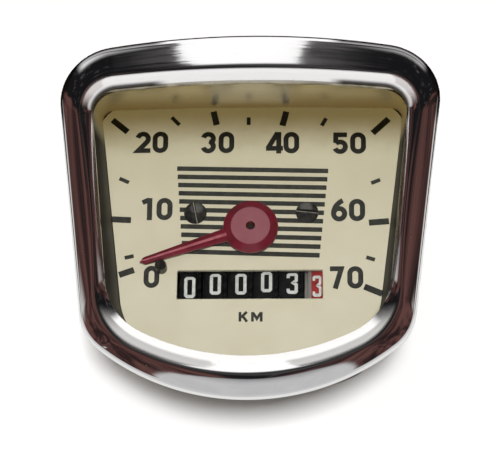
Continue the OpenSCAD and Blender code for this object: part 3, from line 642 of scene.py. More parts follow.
@dataclass(frozen=True)
class ClearGlass(Finish):
    """Thin clear glass, mirror-like by its Fresnel share, with an opaque band painted along its upper edge in
    the lit tone of the well's wall.
    """

    painted_band: Colour = (0.15, 0.135, 0.095)
    painted_band_mottled: Colour = (0.27, 0.25, 0.19)
    edge_bend: float = 2.08
    painted_band_y: Span = (0.0265, 0.0268)
    painted_band_z: Span = (0.048, 0.0486)
    painted_band_rough: float = 0.7
    dust_scale: float = 800.0
    ragged_scale: float = 420.0
    patch: float = 260.0
    wear: Span = (0.35, 0.65)
    ior: float = 1.45

    def paint(self, graph: Graph) -> Value:
        """Clear and polished shaders mixed by Fresnel, dust in the gloss, and a painted band above a bent
        edge line.

        Args:
            graph: Node tree of the material.

        Returns:
            The shader.
        """
        coords = graph.object_coords()
        dust = graph.noise(coords, self.dust_scale, 4.0).step(0.62, 0.9)
        clear = graph.node("ShaderNodeBsdfTransparent", {}, {"Color": (*self.clean, 1.0)})
        mirror = {"Base Color": (1.0, 1.0, 1.0, 1.0), "Metallic": 1.0, "Roughness": dust * 0.2 + self.rough}
        polished = graph.surface(mirror)
        fresnel = graph.node("ShaderNodeFresnel", {}, {"IOR": self.ior})
        x, y, z = graph.axes(coords)
        ragged = graph.noise(coords, self.ragged_scale, 4.0) * 0.0003
        # Painted light: an opaque band in the lit wall's tone covers the shaded gap behind the upper edge of
        # the glass.
        painted_band_mask = (y + x * x * self.edge_bend + ragged).step(*self.painted_band_y) * z.step(*self.painted_band_z)
        patches = graph.noise(coords, self.patch, 4.0).step(*self.wear)
        tone = graph.blend(patches, self.painted_band, self.painted_band_mottled)
        painted_band = graph.surface({"Base Color": tone, "Roughness": self.painted_band_rough})
        return graph.mixed(painted_band_mask, graph.mixed(fresnel * 0.8, clear, polished), painted_band)


CHROME = WornChrome("chrome", (0.88, 0.875, 0.87), (0.24, 0.17, 0.12), 0.05, 1.0, Grain.POLISHED)
CLOUDED = replace(CHROME, name="chrome_bevel", cloudy=0.55)
GLASS = ClearGlass("clear_glass", (0.97, 0.98, 0.97), (1.0, 1.0, 1.0), 0.03)
RUBBER = Finish("gasket_rubber", (0.2, 0.175, 0.11), (0.12, 0.1, 0.06), 0.75)
# The worn colour of the well stands for painted shade at the foot of its wall.
WELL = WellMetal("well_metal", (0.9, 0.83, 0.64), (0.64, 0.51, 0.3), 0.3, 0.9, Grain.POLISHED, 0.08)
CASE = Finish("case_paint", (0.035, 0.037, 0.04), (0.075, 0.07, 0.062), 0.38, 0.0, Grain.ENAMEL, 0.2, 160.0,
              0.25)
CREAM = DialEnamel("dial_enamel", (0.65, 0.59, 0.475), (0.6, 0.54, 0.42), 0.46)
# Painted highlight: a lighter red on the ridge strip of the pointer's blade.
RIDGE_HIGHLIGHT = Finish("pointer_ridge_highlight", (0.42, 0.13, 0.16), (0.26, 0.06, 0.08), 0.3, 0.0, Grain.ENAMEL, 0.1, 500.0,
                0.5)
# Painted light in the screw slots: a glint strip on the slot floor and near-black painted shade elsewhere in
# the slot.
GLINT = Finish("slot_glint", (0.42, 0.39, 0.33), (0.16, 0.14, 0.12), 0.4, 0.3, Grain.GROUND, 0.1, 1800.0)
SLOT_SHADE = Finish("slot_painted_shade", (0.008, 0.007, 0.006), (0.02, 0.017, 0.014), 0.7)
PRINT = DialInk("dial_print", (0.033, 0.033, 0.031), (0.052, 0.05, 0.045), 0.55)
BLACKENED = SteelWithPaintedHighlight("blackened_steel", (0.02, 0.018, 0.017), (0.05, 0.045, 0.042), 0.36, 0.35,
                        Grain.CAST, 0.2, 900.0)
BRASS = Finish("brass", (0.72, 0.52, 0.22), (0.52, 0.36, 0.14), 0.28, 1.0, Grain.GROUND)
RED = RedWithPaintedSheen("pointer_red", (0.14, 0.008, 0.02), (0.1, 0.006, 0.014), 0.3, 0.0, Grain.ENAMEL, 0.1, 420.0,
               0.5)
STEEL = Finish("steel", (0.56, 0.56, 0.57), (0.4, 0.39, 0.38), 0.28, 1.0, Grain.GROUND)
ALUMINIUM = Finish("cup_aluminium", (0.8, 0.8, 0.81), (0.62, 0.62, 0.63), 0.3, 1.0, Grain.GROUND)
BRONZE = Finish("spring_bronze", (0.62, 0.38, 0.2), (0.46, 0.27, 0.14), 0.3, 1.0, Grain.GROUND)
ZINC = Finish("zinc", (0.42, 0.43, 0.44), (0.29, 0.29, 0.29), 0.5, 0.9, Grain.CAST, 0.2, 260.0)
KEEPER = Finish("keeper_iron", (0.34, 0.35, 0.37), (0.22, 0.21, 0.2), 0.4, 1.0, Grain.GROUND)
MAGNET = Finish("magnet_iron", (0.12, 0.12, 0.125), (0.08, 0.075, 0.07), 0.5, 0.9, Grain.CAST)
PLATED = Finish("plated_steel", (0.56, 0.53, 0.43), (0.4, 0.35, 0.26), 0.34, 1.0, Grain.GROUND, 0.2, 320.0)
DRUM_BLACK = Finish("drum_black", (0.004, 0.004, 0.0045), (0.011, 0.011, 0.011), 0.5, 0.0, Grain.MOULDED,
                    0.16, 700.0, 0.0, 0.25)
DRUM_RED = HalfBare("drum_red", (0.3, 0.03, 0.032), (0.2, 0.022, 0.022), 0.42, 0.0, Grain.MOULDED, 0.16,
                    700.0)
PINION = Finish("pinion_plastic", (0.035, 0.035, 0.038), (0.06, 0.058, 0.055), 0.5)
FIGURE = Finish("drum_figure", (0.6, 0.61, 0.6), (0.47, 0.47, 0.45), 0.5, 0.0, Grain.ENAMEL, 0.1, 900.0)

SLOT_FINISHES = {
    finish.name: finish
    for finish in (CHROME, GLASS, RUBBER, WELL, CASE, CREAM, BLACKENED, BRASS, RED, STEEL, ALUMINIUM, BRONZE,
                   ZINC, KEEPER, MAGNET, PLATED, DRUM_BLACK, DRUM_RED, PINION)
}


# Surfaces

ARCH_POINTS = 72
LOW_CORNER_POINTS = 34
TOP_CORNER_POINTS = 40
SIDE_POINTS = 110


def arc(centre: Sequence[float], radii: Sequence[float], start: float, end: float, count: int) -> Array:
    """Points on an ellipse: the centre plus the radii times the cosine and sine of an even run of angles.

    Args:
        centre: Middle of the ellipse.
        radii: Half sizes along x and y.
        start: First angle, in degrees.
        end: Last angle, in degrees.
        count: Number of points.

    Returns:
        An array of count points.
    """
    angle = np.radians(np.linspace(start, end, count))
    return np.stack([centre[0] + radii[0] * np.cos(angle), centre[1] + radii[1] * np.sin(angle)], axis=1)


def between(first: Any, second: Any, share: Any) -> Any:
    """A straight blend: first at share 0 and second at share 1."""
    return first * (1 - share) + second * share


@dataclass(frozen=True)
class Shield:
    """A shield outline in millimetres: leaning straight sides, arched top and bottom, round corners."""

    half_w: float
    lean: float
    top: float
    top_r: float
    top_corner: float
    bottom: float
    bottom_r: float
    bottom_corner: float

    def grown(self, by: float) -> "Shield":
        """The outline moved outwards by a distance all round."""
        half_w = self.half_w + by / math.cos(math.radians(self.lean))
        return Shield(half_w, self.lean, self.top + by, self.top_r + by, self.top_corner + by,
                      self.bottom + by, self.bottom_r + by, self.bottom_corner + by)

    def loop(self) -> Array:
        """Points round the outline, anticlockwise from the bottom centre.

        Each corner is a circle that touches its arch and the leaning side, so all joints are smooth.

        Returns:
            An array of points, the same number for every outline.
        """
        lean = math.radians(self.lean)
        out = np.array([math.cos(lean), -math.sin(lean)])
        up = np.array([math.sin(lean), math.cos(lean)])
        top_c = self.top - self.top_r
        low_c = self.bottom_r - self.bottom
        top_k = self.half_w * math.cos(lean) - self.top_corner
        low_k = self.half_w * math.cos(lean) - self.bottom_corner
        top_gap = (self.top_r - self.top_corner) ** 2 - (top_k + top_c * up[0]) ** 2
        low_gap = (self.bottom_r - self.bottom_corner) ** 2 - (low_k + low_c * up[0]) ** 2
        top_m = top_c * up[1] + math.sqrt(top_gap)
        low_m = low_c * up[1] - math.sqrt(low_gap)
        top_p = top_k * out + top_m * up
        low_p = low_k * out + low_m * up
        top_a = math.degrees(math.atan2(top_p[1] - top_c, top_p[0]))
        low_a = math.degrees(math.atan2(low_p[1] - low_c, low_p[0]))
        low_edge = arc((0, low_c), (self.bottom_r,) * 2, -90, low_a, ARCH_POINTS)
        low_corner = arc(low_p, (self.bottom_corner,) * 2, low_a, -self.lean, LOW_CORNER_POINTS)
        top_corner = arc(top_p, (self.top_corner,) * 2, -self.lean, top_a, TOP_CORNER_POINTS)
        top_edge = arc((0, top_c), (self.top_r,) * 2, top_a, 90, ARCH_POINTS)
        share = np.linspace(0, 1, SIDE_POINTS)[1:-1, None]
        side = between(low_corner[-1], top_corner[0], share)
        half = np.concatenate([low_edge, low_corner[1:], side, top_corner, top_edge[1:]])
        left = half[-2:0:-1] * np.array([-1.0, 1.0])
        return np.concatenate([half, left])


BEZEL_EDGE = Shield(34.6, 7.2, 36.9, 166, 11.5, 37.95, 45, 10)
OPENING = Shield(28.75, 5.9, 27.5, 240, 5, 29.6, 45, 13)
WELL_FOOT = Shield(27.45, 7.1, 26.6, 900, 2.6, 28.7, 45, 13)
CASE_BACK = Shield(27, 7.2, 27, 166, 6, 24.8, 52, 8.5)


def level(loop: Array, z: float) -> Array:
    """A flat loop lifted to height z."""
    return np.column_stack([loop, np.full(len(loop), z)])


def lifted(flat: Array, z: Array) -> Array:
    """A grid of flat points raised to the height of each row."""
    return np.concatenate([flat, np.broadcast_to(z, (*flat.shape[:2], 1))], axis=2)


class Skin:
    """Surfaces gathered into one mesh piece."""

    def __init__(self, name: str) -> None:
        """Start an empty piece.

        Args:
            name: Name of the piece.
        """
        self.name = name
        self.points: list[Array] = []
        self.faces: list[Array] = []
        self.marks: list[Array] = []
        self.count = 0

    def grid(self, points: Array, wrap_rows: bool = False, wrap_columns: bool = False,
             mark: Any = 0) -> "Skin":
        """Add a grid of points as quads: each quad joins neighbours in the row and column directions.

        Args:
            points: Array of rows by columns by three, in millimetres.
            wrap_rows: Whether the last row joins the first.
            wrap_columns: Whether the last column joins the first.
            mark: Material index of all faces, or an array with one for each column or each row of faces.

        Returns:
            The piece, so calls can be chained.
        """
        rows, columns = points.shape[:2]
        index = np.arange(rows * columns).reshape(rows, columns) + self.count
        down = np.roll(index, -1, axis=0) if wrap_rows else index[1:]
        here = index if wrap_rows else index[:-1]
        right = np.roll(here, -1, axis=1) if wrap_columns else here[:, 1:]
        low_right = np.roll(down, -1, axis=1) if wrap_columns else down[:, 1:]
        keep = slice(None) if wrap_columns else slice(-1)
        cells = np.stack([here[:, keep], right, low_right, down[:, keep]], axis=-1)
        self.points.append(points.reshape(-1, 3))
        self.faces.append(cells.reshape(-1, 4))
        self.marks.append(np.broadcast_to(np.asarray(mark), cells.shape[:2]).reshape(-1))
        self.count += rows * columns
        return self

    def build(self, body: str, slot: str, finishes: Sequence[Finish], replaces: Sequence[str] = (),
              sharp: float = 38.0, outward: bool = True) -> bpy.types.Object:
        """Make the mesh object and hang it on its body.

        Args:
            body: Body that the piece rides on.
            slot: Material slot of the record; not used.
            finishes: Finishes by material index.
            replaces: Nodes that the piece stands for.
            sharp: Angle, in degrees, past which an edge stays sharp.
            outward: Whether the faces are turned outwards, for closed pieces.

        Returns:
            The finished object.
        """
        mesh = bpy.data.meshes.new(self.name)
        points = np.concatenate(self.points) * MM
        faces = np.concatenate(self.faces)
        mesh.from_pydata(points.tolist(), [], faces.tolist())
        mesh.polygons.foreach_set("material_index", np.concatenate(self.marks).astype(np.int32))
        work = bmesh.new()
        work.from_mesh(mesh)
        bmesh.ops.remove_doubles(work, verts=work.verts, dist=2.0e-7)
        bmesh.ops.dissolve_degenerate(work, edges=work.edges, dist=1.0e-8)
        if outward:
            bmesh.ops.recalc_face_normals(work, faces=work.faces)
        work.to_mesh(mesh)
        work.free()
        mesh.shade_smooth()
        mesh.set_sharp_from_angle(angle=math.radians(sharp))
        for finish in finishes:
            mesh.materials.append(finish.material())
        piece = add_object(self.name, mesh)
        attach(piece, body)
        if replaces:
            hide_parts(*replaces)
        log.info("%s: %d faces on %s", self.name, len(mesh.polygons), body)
        return piece


def turned(profile: Array, count: int = 96, centre: Sequence[float] = (0.0, 0.0)) -> Array:
    """A surface of revolution: every profile point (radius, height) swept round a vertical axis.

    Args:
        profile: Array of radius and height.
        count: Points round the axis.
        centre: Place of the axis.

    Returns:
        A grid of profile points by angles.
    """
    angle = np.linspace(0, 2 * np.pi, count, endpoint=False)
    radius = profile[:, :1]
    x = centre[0] + radius * np.cos(angle)
    y = centre[1] + radius * np.sin(angle)
    z = np.broadcast_to(profile[:, 1:], x.shape)
    return np.stack([x, y, z], axis=-1)


def ribbon(path: Array, width: float, thick: float, closed: bool = False) -> Array:
    """A flat bar carried along a path: each point moves half the width along the mitred side direction.

    Args:
        path: Points of the middle line.
        width: Width of the bar.
        thick: Height of the bar above its base.
        closed: Whether the path joins its own start.

    Returns:
        A grid of four corners by path points, as x, y and height.
    """
    before = np.roll(path, 1, axis=0)
    after = np.roll(path, -1, axis=0)
    if not closed:
        before[0] = 2 * path[0] - path[1]
        after[-1] = 2 * path[-1] - path[-2]
    first = path - before
    second = after - path
    first = first / np.linalg.norm(first, axis=1, keepdims=True)
    second = second / np.linalg.norm(second, axis=1, keepdims=True)
    along = first + second
    along = along / np.linalg.norm(along, axis=1, keepdims=True)
    stretch = 1.0 / np.clip(np.sum(along * first, axis=1, keepdims=True), 0.4, 1.0)
    side = np.stack([-along[:, 1], along[:, 0]], axis=1) * stretch * width / 2
    low = np.zeros((len(path), 1))
    high = np.full((len(path), 1), thick)
    left = path + side
    right = path - side
    return np.stack([np.hstack([left, low]), np.hstack([left, high]), np.hstack([right, high]),
                     np.hstack([right, low])])


def add_bar(skin: Skin, path: Array, width: float, thick: float, place: Place, closed: bool = False) -> None:
    """Add a ribbon to a piece, with its ends closed, after placing its points.

    Args:
        skin: Piece that takes the bar.
        path: Points of the middle line.
        width: Width of the bar.
        thick: Height of the bar.
        place: Carries local points to millimetres in the frame.
        closed: Whether the path is a ring.
    """
    bar = place(ribbon(np.asarray(path, float), width, thick, closed))
    skin.grid(bar, wrap_rows=True, wrap_columns=closed)
    if not closed:
        skin.grid(bar[[[0, 1], [3, 2]], 0]).grid(bar[[[0, 1], [3, 2]], -1])


# Figures


@dataclass(frozen=True)
class Stroke:
    """One middle line of a figure, in units of the figure's height."""

    path: Array
    closed: bool = False


def line(*points: Span) -> Stroke:
    """A stroke of straight runs."""
    return Stroke(np.array(points))


def bowl(centre: Span, radius: float, start: float, end: float, *tail: Span) -> Stroke:
    """A stroke that follows a circle and then straight runs."""
    run = arc(centre, (radius, radius), start, end, 24)
    return Stroke(np.concatenate([run, np.array(tail)]) if tail else run)


def stadium(x: float, half: float, low: float, high: float) -> Stroke:
    """A closed stroke with straight sides and half-circle ends.

    Args:
        x: Middle.
        half: Half width.
        low: Centre of the lower end.
        high: Centre of the upper end.

    Returns:
        The stroke.
    """
    upper = arc((x, high), (half, half), 0, 180, 24)
    lower = arc((x, low), (half, half), 180, 360, 24)
    return Stroke(np.concatenate([upper, lower]), True)


def box(x0: float, x1: float, y0: float, y1: float, cut: float) -> Stroke:
    """A closed stroke round a rectangle with small cut corners.

    Args:
        x0: Left side.
        x1: Right side.
        y0: Lower side.
        y1: Upper side.
        cut: Length of a cut along each side.

    Returns:
        The stroke.
    """
    points = [(x1, y0 + cut), (x1, y1 - cut), (x1 - cut, y1), (x0 + cut, y1), (x0, y1 - cut), (x0, y0 + cut),
              (x0 + cut, y0), (x1 - cut, y0)]
    return Stroke(np.array(points), True)


DIAL_STROKE = 0.218
UNIT_STROKE = 0.27
DIAL_FIGURES: dict[str, list[Stroke]] = {
    "0": [stadium(0.34, 0.23, 0.34, 0.66)],
    "1": [line((0.34, 0.0), (0.34, 1.0)), line((0.03, 0.79), (0.32, 0.93))],
    "2": [bowl((0.34, 0.665), 0.225, 168, -38, (0.14, 0.115), (0.67, 0.115))],
    "3": [bowl((0.31, 0.675), 0.215, 165, -78), bowl((0.31, 0.33), 0.22, 82, -165)],
    "4": [line((0.55, 0.0), (0.55, 1.0)), line((0.5, 0.97), (0.1, 0.27)), line((0.0, 0.24), (0.73, 0.24))],
    "5": [line((0.62, 0.89), (0.14, 0.89), (0.13, 0.52)), bowl((0.32, 0.335), 0.225, 142, -160)],
    "6": [Stroke(arc((0.34, 0.335), (0.23, 0.235), 0, 350, 36), True), bowl((0.75, 0.335), 0.64, 113, 180)],
    "7": [line((0.02, 0.89), (0.5, 0.89), (0.24, 0.0))],
    "K": [line((0.11, 0.0), (0.11, 1.0)), line((0.8, 1.02), (0.2, 0.42)), line((0.38, 0.58), (0.82, -0.02))],
    "M": [line((0.11, 0.0), (0.11, 1.0)), line((0.15, 0.95), (0.55, 0.3), (0.95, 0.95)),
          line((0.99, 1.0), (0.99, 0.0))],
}

DRUM_STROKE = 0.14
TOP_TURN = ((0.08, 0.88), (0.12, 0.92), (0.39, 0.92), (0.43, 0.88))
LOW_TURN = ((0.43, 0.12), (0.39, 0.08), (0.12, 0.08), (0.08, 0.12))
DRUM_FIGURES: dict[int, list[Stroke]] = {
    0: [box(0.08, 0.43, 0.08, 0.92, 0.06)],
    1: [line((0.08, 0.74), (0.28, 0.92), (0.28, 0.0))],
    2: [line((0.08, 0.72), *TOP_TURN, (0.43, 0.62), (0.1, 0.2), (0.1, 0.08), (0.48, 0.08))],
    3: [line((0.08, 0.74), *TOP_TURN, (0.43, 0.62), (0.3, 0.51), (0.43, 0.42), *LOW_TURN, (0.08, 0.24))],
    4: [line((0.38, 0.0), (0.38, 1.0)), line((0.33, 0.94), (0.08, 0.32), (0.5, 0.32))],
    5: [line((0.46, 0.92), (0.1, 0.92), (0.1, 0.56), (0.39, 0.56), (0.43, 0.52), *LOW_TURN, (0.08, 0.24))],
    6: [box(0.08, 0.43, 0.08, 0.52, 0.06), line((0.08, 0.4), *TOP_TURN, (0.43, 0.78))],
    7: [line((0.02, 0.92), (0.44, 0.92), (0.2, 0.0))],
    8: [box(0.08, 0.43, 0.08, 0.5, 0.06), box(0.1, 0.41, 0.5, 0.92, 0.06)],
    9: [box(0.08, 0.43, 0.48, 0.92, 0.06), line((0.43, 0.6), *LOW_TURN, (0.08, 0.22))],
}


# Sub-assemblies


@dataclass
class Bezel:
    """Pressed and chromed rim: a lip on the glass, a bevel, a crest, a convex face and a crimped skirt."""

    lip_z: float = 49.0
    lip_rise: float = 0.8
    lip_steps: Sequence[float] = (0.0, 0.4, 0.85)
    lip_land: float = 0.95
    bevel_w: float = 3.05
    bevel_rows: int = 22
    bevel_start: float = 0.006
    crest_drop: float = 1.25
    lip_squeeze: float = 0.022
    side_pull: float = 0.053
    pull_reach: float = 27.0
    crest_h: float = 2.3
    cone_rows: int = 26
    cone_h: float = 1.05
    cone_power: float = 1.6
    cone_angle: float = 19.7
    roll_rows: int = 16
    roll_t: float = 0.79
    roll_h: float = 1.35
    power: float = 1.75
    sheet: float = 0.8
    skirt_lean: float = 1.9
    skirt_in: float = 0.1
    skirt_drop: float = 0.5
    crimp_w: float = 1.4
    crimp_z: float = 42.9
    crimp_round: float = 0.12
    crimp_rise: float = 0.15
    under_steps: Sequence[float] = (0.75, 0.5, 0.25, 0.12)
    fold_in: float = 0.7
    fold_rise: float = 0.45
    dent: Span = (-26.87, -26.73)
    dent_r: float = 0.38
    dent_depth: float = 0.17
    dent_above: float = 0.05

    def towards_crest(self, by: float) -> Array:
        """Opening grown towards the crest, lowered and drawn in beside the dial by its share of the way.

        The upper half is drawn down by the share that is left, so the lip takes most of that.

        Args:
            by: Distance from the opening.

        Returns:
            The outline.
        """
        share = by / self.bevel_w
        outline = OPENING.grown(by).loop()
        middle = np.maximum(1 - (outline[:, 1] / self.pull_reach) ** 2, 0)
        outline[:, 0] *= 1 - self.side_pull * share * middle
        squeeze = self.lip_squeeze * (1 - share) * np.maximum(outline[:, 1], 0)
        outline[:, 1] -= self.crest_drop * share + squeeze
        return outline

    def face(self, t: Array) -> Array:
        """Face: outlines blended from the crest at 0 to the widest line at 1.

        Height falls as a power of t, then follows a quarter ellipse that starts with the slope reached there.

        Args:
            t: Shares of the way from the crest to the widest line.

        Returns:
            A grid of rows by outline points.
        """
        crest = self.towards_crest(self.bevel_w)
        edge = BEZEL_EDGE.loop()
        flat = between(crest, edge, t[:, None, None])
        cone = np.power(np.minimum(t, self.roll_t) / self.roll_t, self.cone_power) * self.cone_h
        start = math.radians(self.cone_angle)
        reach = np.clip((t - self.roll_t) / (1 - self.roll_t), 0, 1) * (1 - math.sin(start)) + math.sin(start)
        roll = (math.cos(start) - np.sqrt(np.maximum(1 - reach ** 2, 0))) * self.roll_h / math.cos(start)
        z = self.crest_z - cone - roll
        return lifted(flat, z[:, None, None])

    @property
    def equator_z(self) -> float:
        """Height of the widest line."""
        return self.crest_z - self.cone_h - self.roll_h

    @property
    def crest_z(self) -> float:
        """Height of the crest."""
        return self.lip_z + self.crest_h

    def bevel(self) -> Array:
        """Bevel: the opening grown step by step, rising as one minus a power of the way still to go.

        Returns:
            A grid of rows by outline points, from the lip to the crest.
        """
        share = np.linspace(0, 1, self.bevel_rows)[:-1]
        rise = self.lip_rise + (self.crest_h - self.lip_rise) * (1 - np.power(1 - share, self.power))
        lip = [level(self.towards_crest(0.0), self.lip_z + step * self.lip_rise) for step in self.lip_steps]
        rows = [level(self.towards_crest(s * self.bevel_w), self.lip_z + h)
                for s, h in zip(share + self.bevel_start, rise)]
        return np.stack(lip + rows)

    def skirt(self) -> Array:
        """Skirt, crimp and inner wall: outlines shrunk step by step under the case flange and up again.

        Returns:
            A grid of rows by outline points.
        """
        flange_z = self.crimp_z + self.sheet
        turn_in = -self.skirt_lean - self.crimp_w
        low = self.equator_z - self.skirt_drop
        steps = [(-self.skirt_in, low),
                 (-self.skirt_lean + self.crimp_round, self.crimp_z + self.crimp_rise),
                 (-self.skirt_lean - self.crimp_round, self.crimp_z),
                 (turn_in, self.crimp_z), (turn_in, flange_z),
                 (-self.skirt_lean - self.sheet, flange_z), (-self.skirt_in - self.sheet, low),
                 (-self.sheet, self.equator_z)]
        return np.stack([level(BEZEL_EDGE.grown(by).loop(), z) for by, z in steps])

    def under(self) -> Array:
        """Underside of the face, down to the lip that presses on the glass.

        Returns:
            A grid of rows by outline points.
        """
        face = self.face(np.array(self.under_steps))
        face[:, :, 2] -= self.sheet
        fold = self.towards_crest(self.fold_in * self.bevel_w)
        lip = [level(fold, self.lip_z + self.fold_rise * self.crest_h),
               level(OPENING.grown(self.lip_land).loop(), self.lip_z)]
        return np.concatenate([face, np.stack(lip)])

    def build(self) -> bpy.types.Object:
        """Join the rows into one ring and press the small dent into its face.

        Returns:
            The bezel piece.
        """
        cone = np.linspace(0, self.roll_t, self.cone_rows)
        roll = self.roll_t + (1 - self.roll_t) * np.sin(np.linspace(0, np.pi / 2, self.roll_rows)[1:])
        bevel = self.bevel()
        rows = np.concatenate([bevel, self.face(np.concatenate([cone, roll])), self.skirt(), self.under()])
        clouded = (np.arange(len(rows)) < len(bevel)).astype(int)[:, None]
        away = np.sum((rows[:, :, :2] - np.array(self.dent)) ** 2, axis=2)
        shown = rows[:, :, 2] > self.equator_z + self.dent_above
        rows[:, :, 2] -= np.where(shown, self.dent_depth * np.exp(-away / (2 * self.dent_r ** 2)), 0.0)
        skin = Skin("bezel_rim").grid(rows, True, True, clouded)
        return skin.build("case", "chrome", [CHROME, CLOUDED], ["bezel"], 30.0)


@dataclass
class Well:
    """Spacer ring whose satin wall mirrors the dial."""

    top_z: float = 46.1
    show: float = 0.25
    wall: float = 0.7
    inset: float = 2.15
    flange_t: float = 0.8

    def build(self) -> bpy.types.Object:
        """Blend outlines from the dial up to the glass gasket, then out to the flange and back.

        Returns:
            The ring piece.
        """
        foot = WELL_FOOT.loop()
        head = OPENING.grown(self.show).loop()
        share = np.linspace(0, 1, 12)[:, None, None]
        inner = lifted(between(foot, head, share), DIAL_Z + (self.top_z - DIAL_Z) * share)
        rim = BEZEL_EDGE.grown(-self.inset).loop()
        flange_z = self.top_z - self.flange_t
        outer = np.stack([level(rim, self.top_z), level(rim, flange_z),
                          level(OPENING.grown(self.show + self.wall).loop(), flange_z),
                          level(WELL_FOOT.grown(self.wall).loop(), DIAL_Z)])
        rows = np.concatenate([inner, outer])
        return Skin("well_wall").grid(rows, True, True).build("case", "well_metal", [WELL], ["spacer_ring"])


@dataclass
class CaseBowl:
    """Drawn steel bowl behind the bezel, with a flange, tapered walls and a hole for the drive collar."""

    inset: float = 3.6
    wall: float = 0.8
    edge_r: float = 3.0
    taper_z: float = 40.0
    top_z: float = 44.5
    flange_out: float = 2.75
    hole_r: float = 5.02

    def wall_rows(self, skin: float) -> Array:
        """One side of the bowl: the hole, the flat back, a quarter-round edge, the taper and the mouth.

        Args:
            skin: Distance of this side inside the outer one.

        Returns:
            A grid of rows by outline points, from the hole to the mouth.
        """
        edge_r = self.edge_r - skin
        angle = np.radians(np.linspace(0, 90, 13))
        edge = [level(CASE_BACK.grown(-skin - edge_r * (1 - math.sin(a))).loop(),
                      skin + edge_r * (1 - math.cos(a))) for a in angle]
        first = edge[0][:, :2]
        hole = first / np.linalg.norm(first, axis=1, keepdims=True) * self.hole_r
        mouth = BEZEL_EDGE.grown(-self.inset - skin).loop()
        floor = [level(between(hole, first, s), skin) for s in np.linspace(0, 1, 6)[:-1]]
        taper = [level(between(edge[-1][:, :2], mouth, s), between(edge[-1][0, 2], self.taper_z, s))
                 for s in np.linspace(0, 1, 9)[1:]]
        return np.stack(floor + edge + taper)

    def build(self) -> bpy.types.Object:
        """Join the outer side, the flange and the inner side into one closed shell.

        Returns:
            The case piece.
        """
        neck = BEZEL_EDGE.grown(-self.inset).loop()
        rim = BEZEL_EDGE.grown(-self.flange_out).loop()
        mouth = BEZEL_EDGE.grown(-self.inset - self.wall).loop()
        flange_z = self.top_z - self.wall
        flange = np.stack([level(neck, flange_z), level(rim, flange_z), level(rim, self.top_z),
                           level(mouth, self.top_z)])
        rows = np.concatenate([self.wall_rows(0.0), flange, self.wall_rows(self.wall)[::-1]])
        return Skin("case_bowl").grid(rows, True, True).build("case", "case_paint", [CASE], ["housing"])


@dataclass
class DialPrint:
    """Print on the dial: scale marks, figures, the unit and a tapering block of stripes."""

    film: float = 0.03
    major_w: float = 1.28
    minor_w: float = 0.8
    stripe_count: int = 11
    stripe_w: float = 0.98
    stripe_top: tuple[float, float, float, float] = (-15.02, 13.33, 15.39, 12.57)
    stripe_low: tuple[float, float, float, float] = (-13.62, -4.38, 13.61, -5.35)
    marks: Sequence[tuple[float, float, float, float]] = (
        (-26.03, -9.24, -23.1, -8.21), (-25.04, -5.67, -23.23, -5.28), (-27.83, 2.52, -24.01, 2.3),
        (-26.62, 11.27, -24.67, 10.38), (-28.45, 24.09, -25.26, 21.42), (-16.37, 24.56, -14.76, 22.87),
        (-7.87, 25.77, -7.18, 22.8), (-0.71, 24.42, -0.68, 22.75), (6.94, 25.63, 6.17, 22.53),
        (15.01, 24.08, 14.11, 22.46), (27.65, 23.84, 24.39, 20.74), (25.75, 10.62, 23.95, 9.88),
        (27.38, 1.76, 23.4, 1.46), (24.5, -6.34, 22.8, -5.79), (25.84, -13.39, 22.36, -11.89))
    figures: Sequence[tuple[str, float, float, float]] = (
        ("20", -23.68, 16.75, 4.7), ("30", -10.28, 16.6, 4.7), ("40", 2.85, 16.45, 4.7),
        ("50", 16.3, 16.24, 4.7), ("10", -21.96, 2.26, 4.75), ("60", 15.89, 1.8, 4.75),
        ("0", -21.15, -11.97, 4.6), ("70", 15.52, -12.3, 4.65),
        ("K", -2.22, -18.97, 1.95), ("M", 0.23, -18.98, 1.95))
    advance: float = 0.75
    one_tuck: float = 0.12

    def film_place(self, x: float, y: float, height: float) -> Place:
        """A placing that scales figure units to height and lays them on the dial at (x, y).

        Args:
            x: Left edge.
            y: Foot.
            height: Figure height.

        Returns:
            The placing.
        """
        scale = np.array([height, height, 1.0])
        corner = np.array([x, y, DIAL_Z])
        return lambda points: points * scale + corner

    def build(self) -> bpy.types.Object:
        """Lay every mark, stripe and figure as a thin raised film.

        Returns:
            The print piece.
        """
        skin = Skin("dial_print")
        flat = self.film_place(0.0, 0.0, 1.0)
        for k, (x0, y0, x1, y1) in enumerate(self.marks):
            width = self.major_w if k % 2 == 0 else self.minor_w
            add_bar(skin, [(x0, y0), (x1, y1)], width, self.film, flat)
        for share in np.linspace(0, 1, self.stripe_count):
            x0, y0, x1, y1 = between(np.array(self.stripe_top), np.array(self.stripe_low), share)
            add_bar(skin, [(x0, y0), (x1, y1)], self.stripe_w, self.film, flat)
        for words, x, y, height in self.figures:
            for k, letter in enumerate(words):
                step = self.advance * height * k
                step -= self.one_tuck * height if words[0] == "1" and k else 0.0
                place = self.film_place(x + step, y, height)
                width = UNIT_STROKE if letter in "KM" else DIAL_STROKE
                for j, stroke in enumerate(DIAL_FIGURES[letter]):
                    add_bar(skin, stroke.path, width, self.film + LAYER * j, place, stroke.closed)
        return skin.build("case", "dial_enamel", [PRINT])


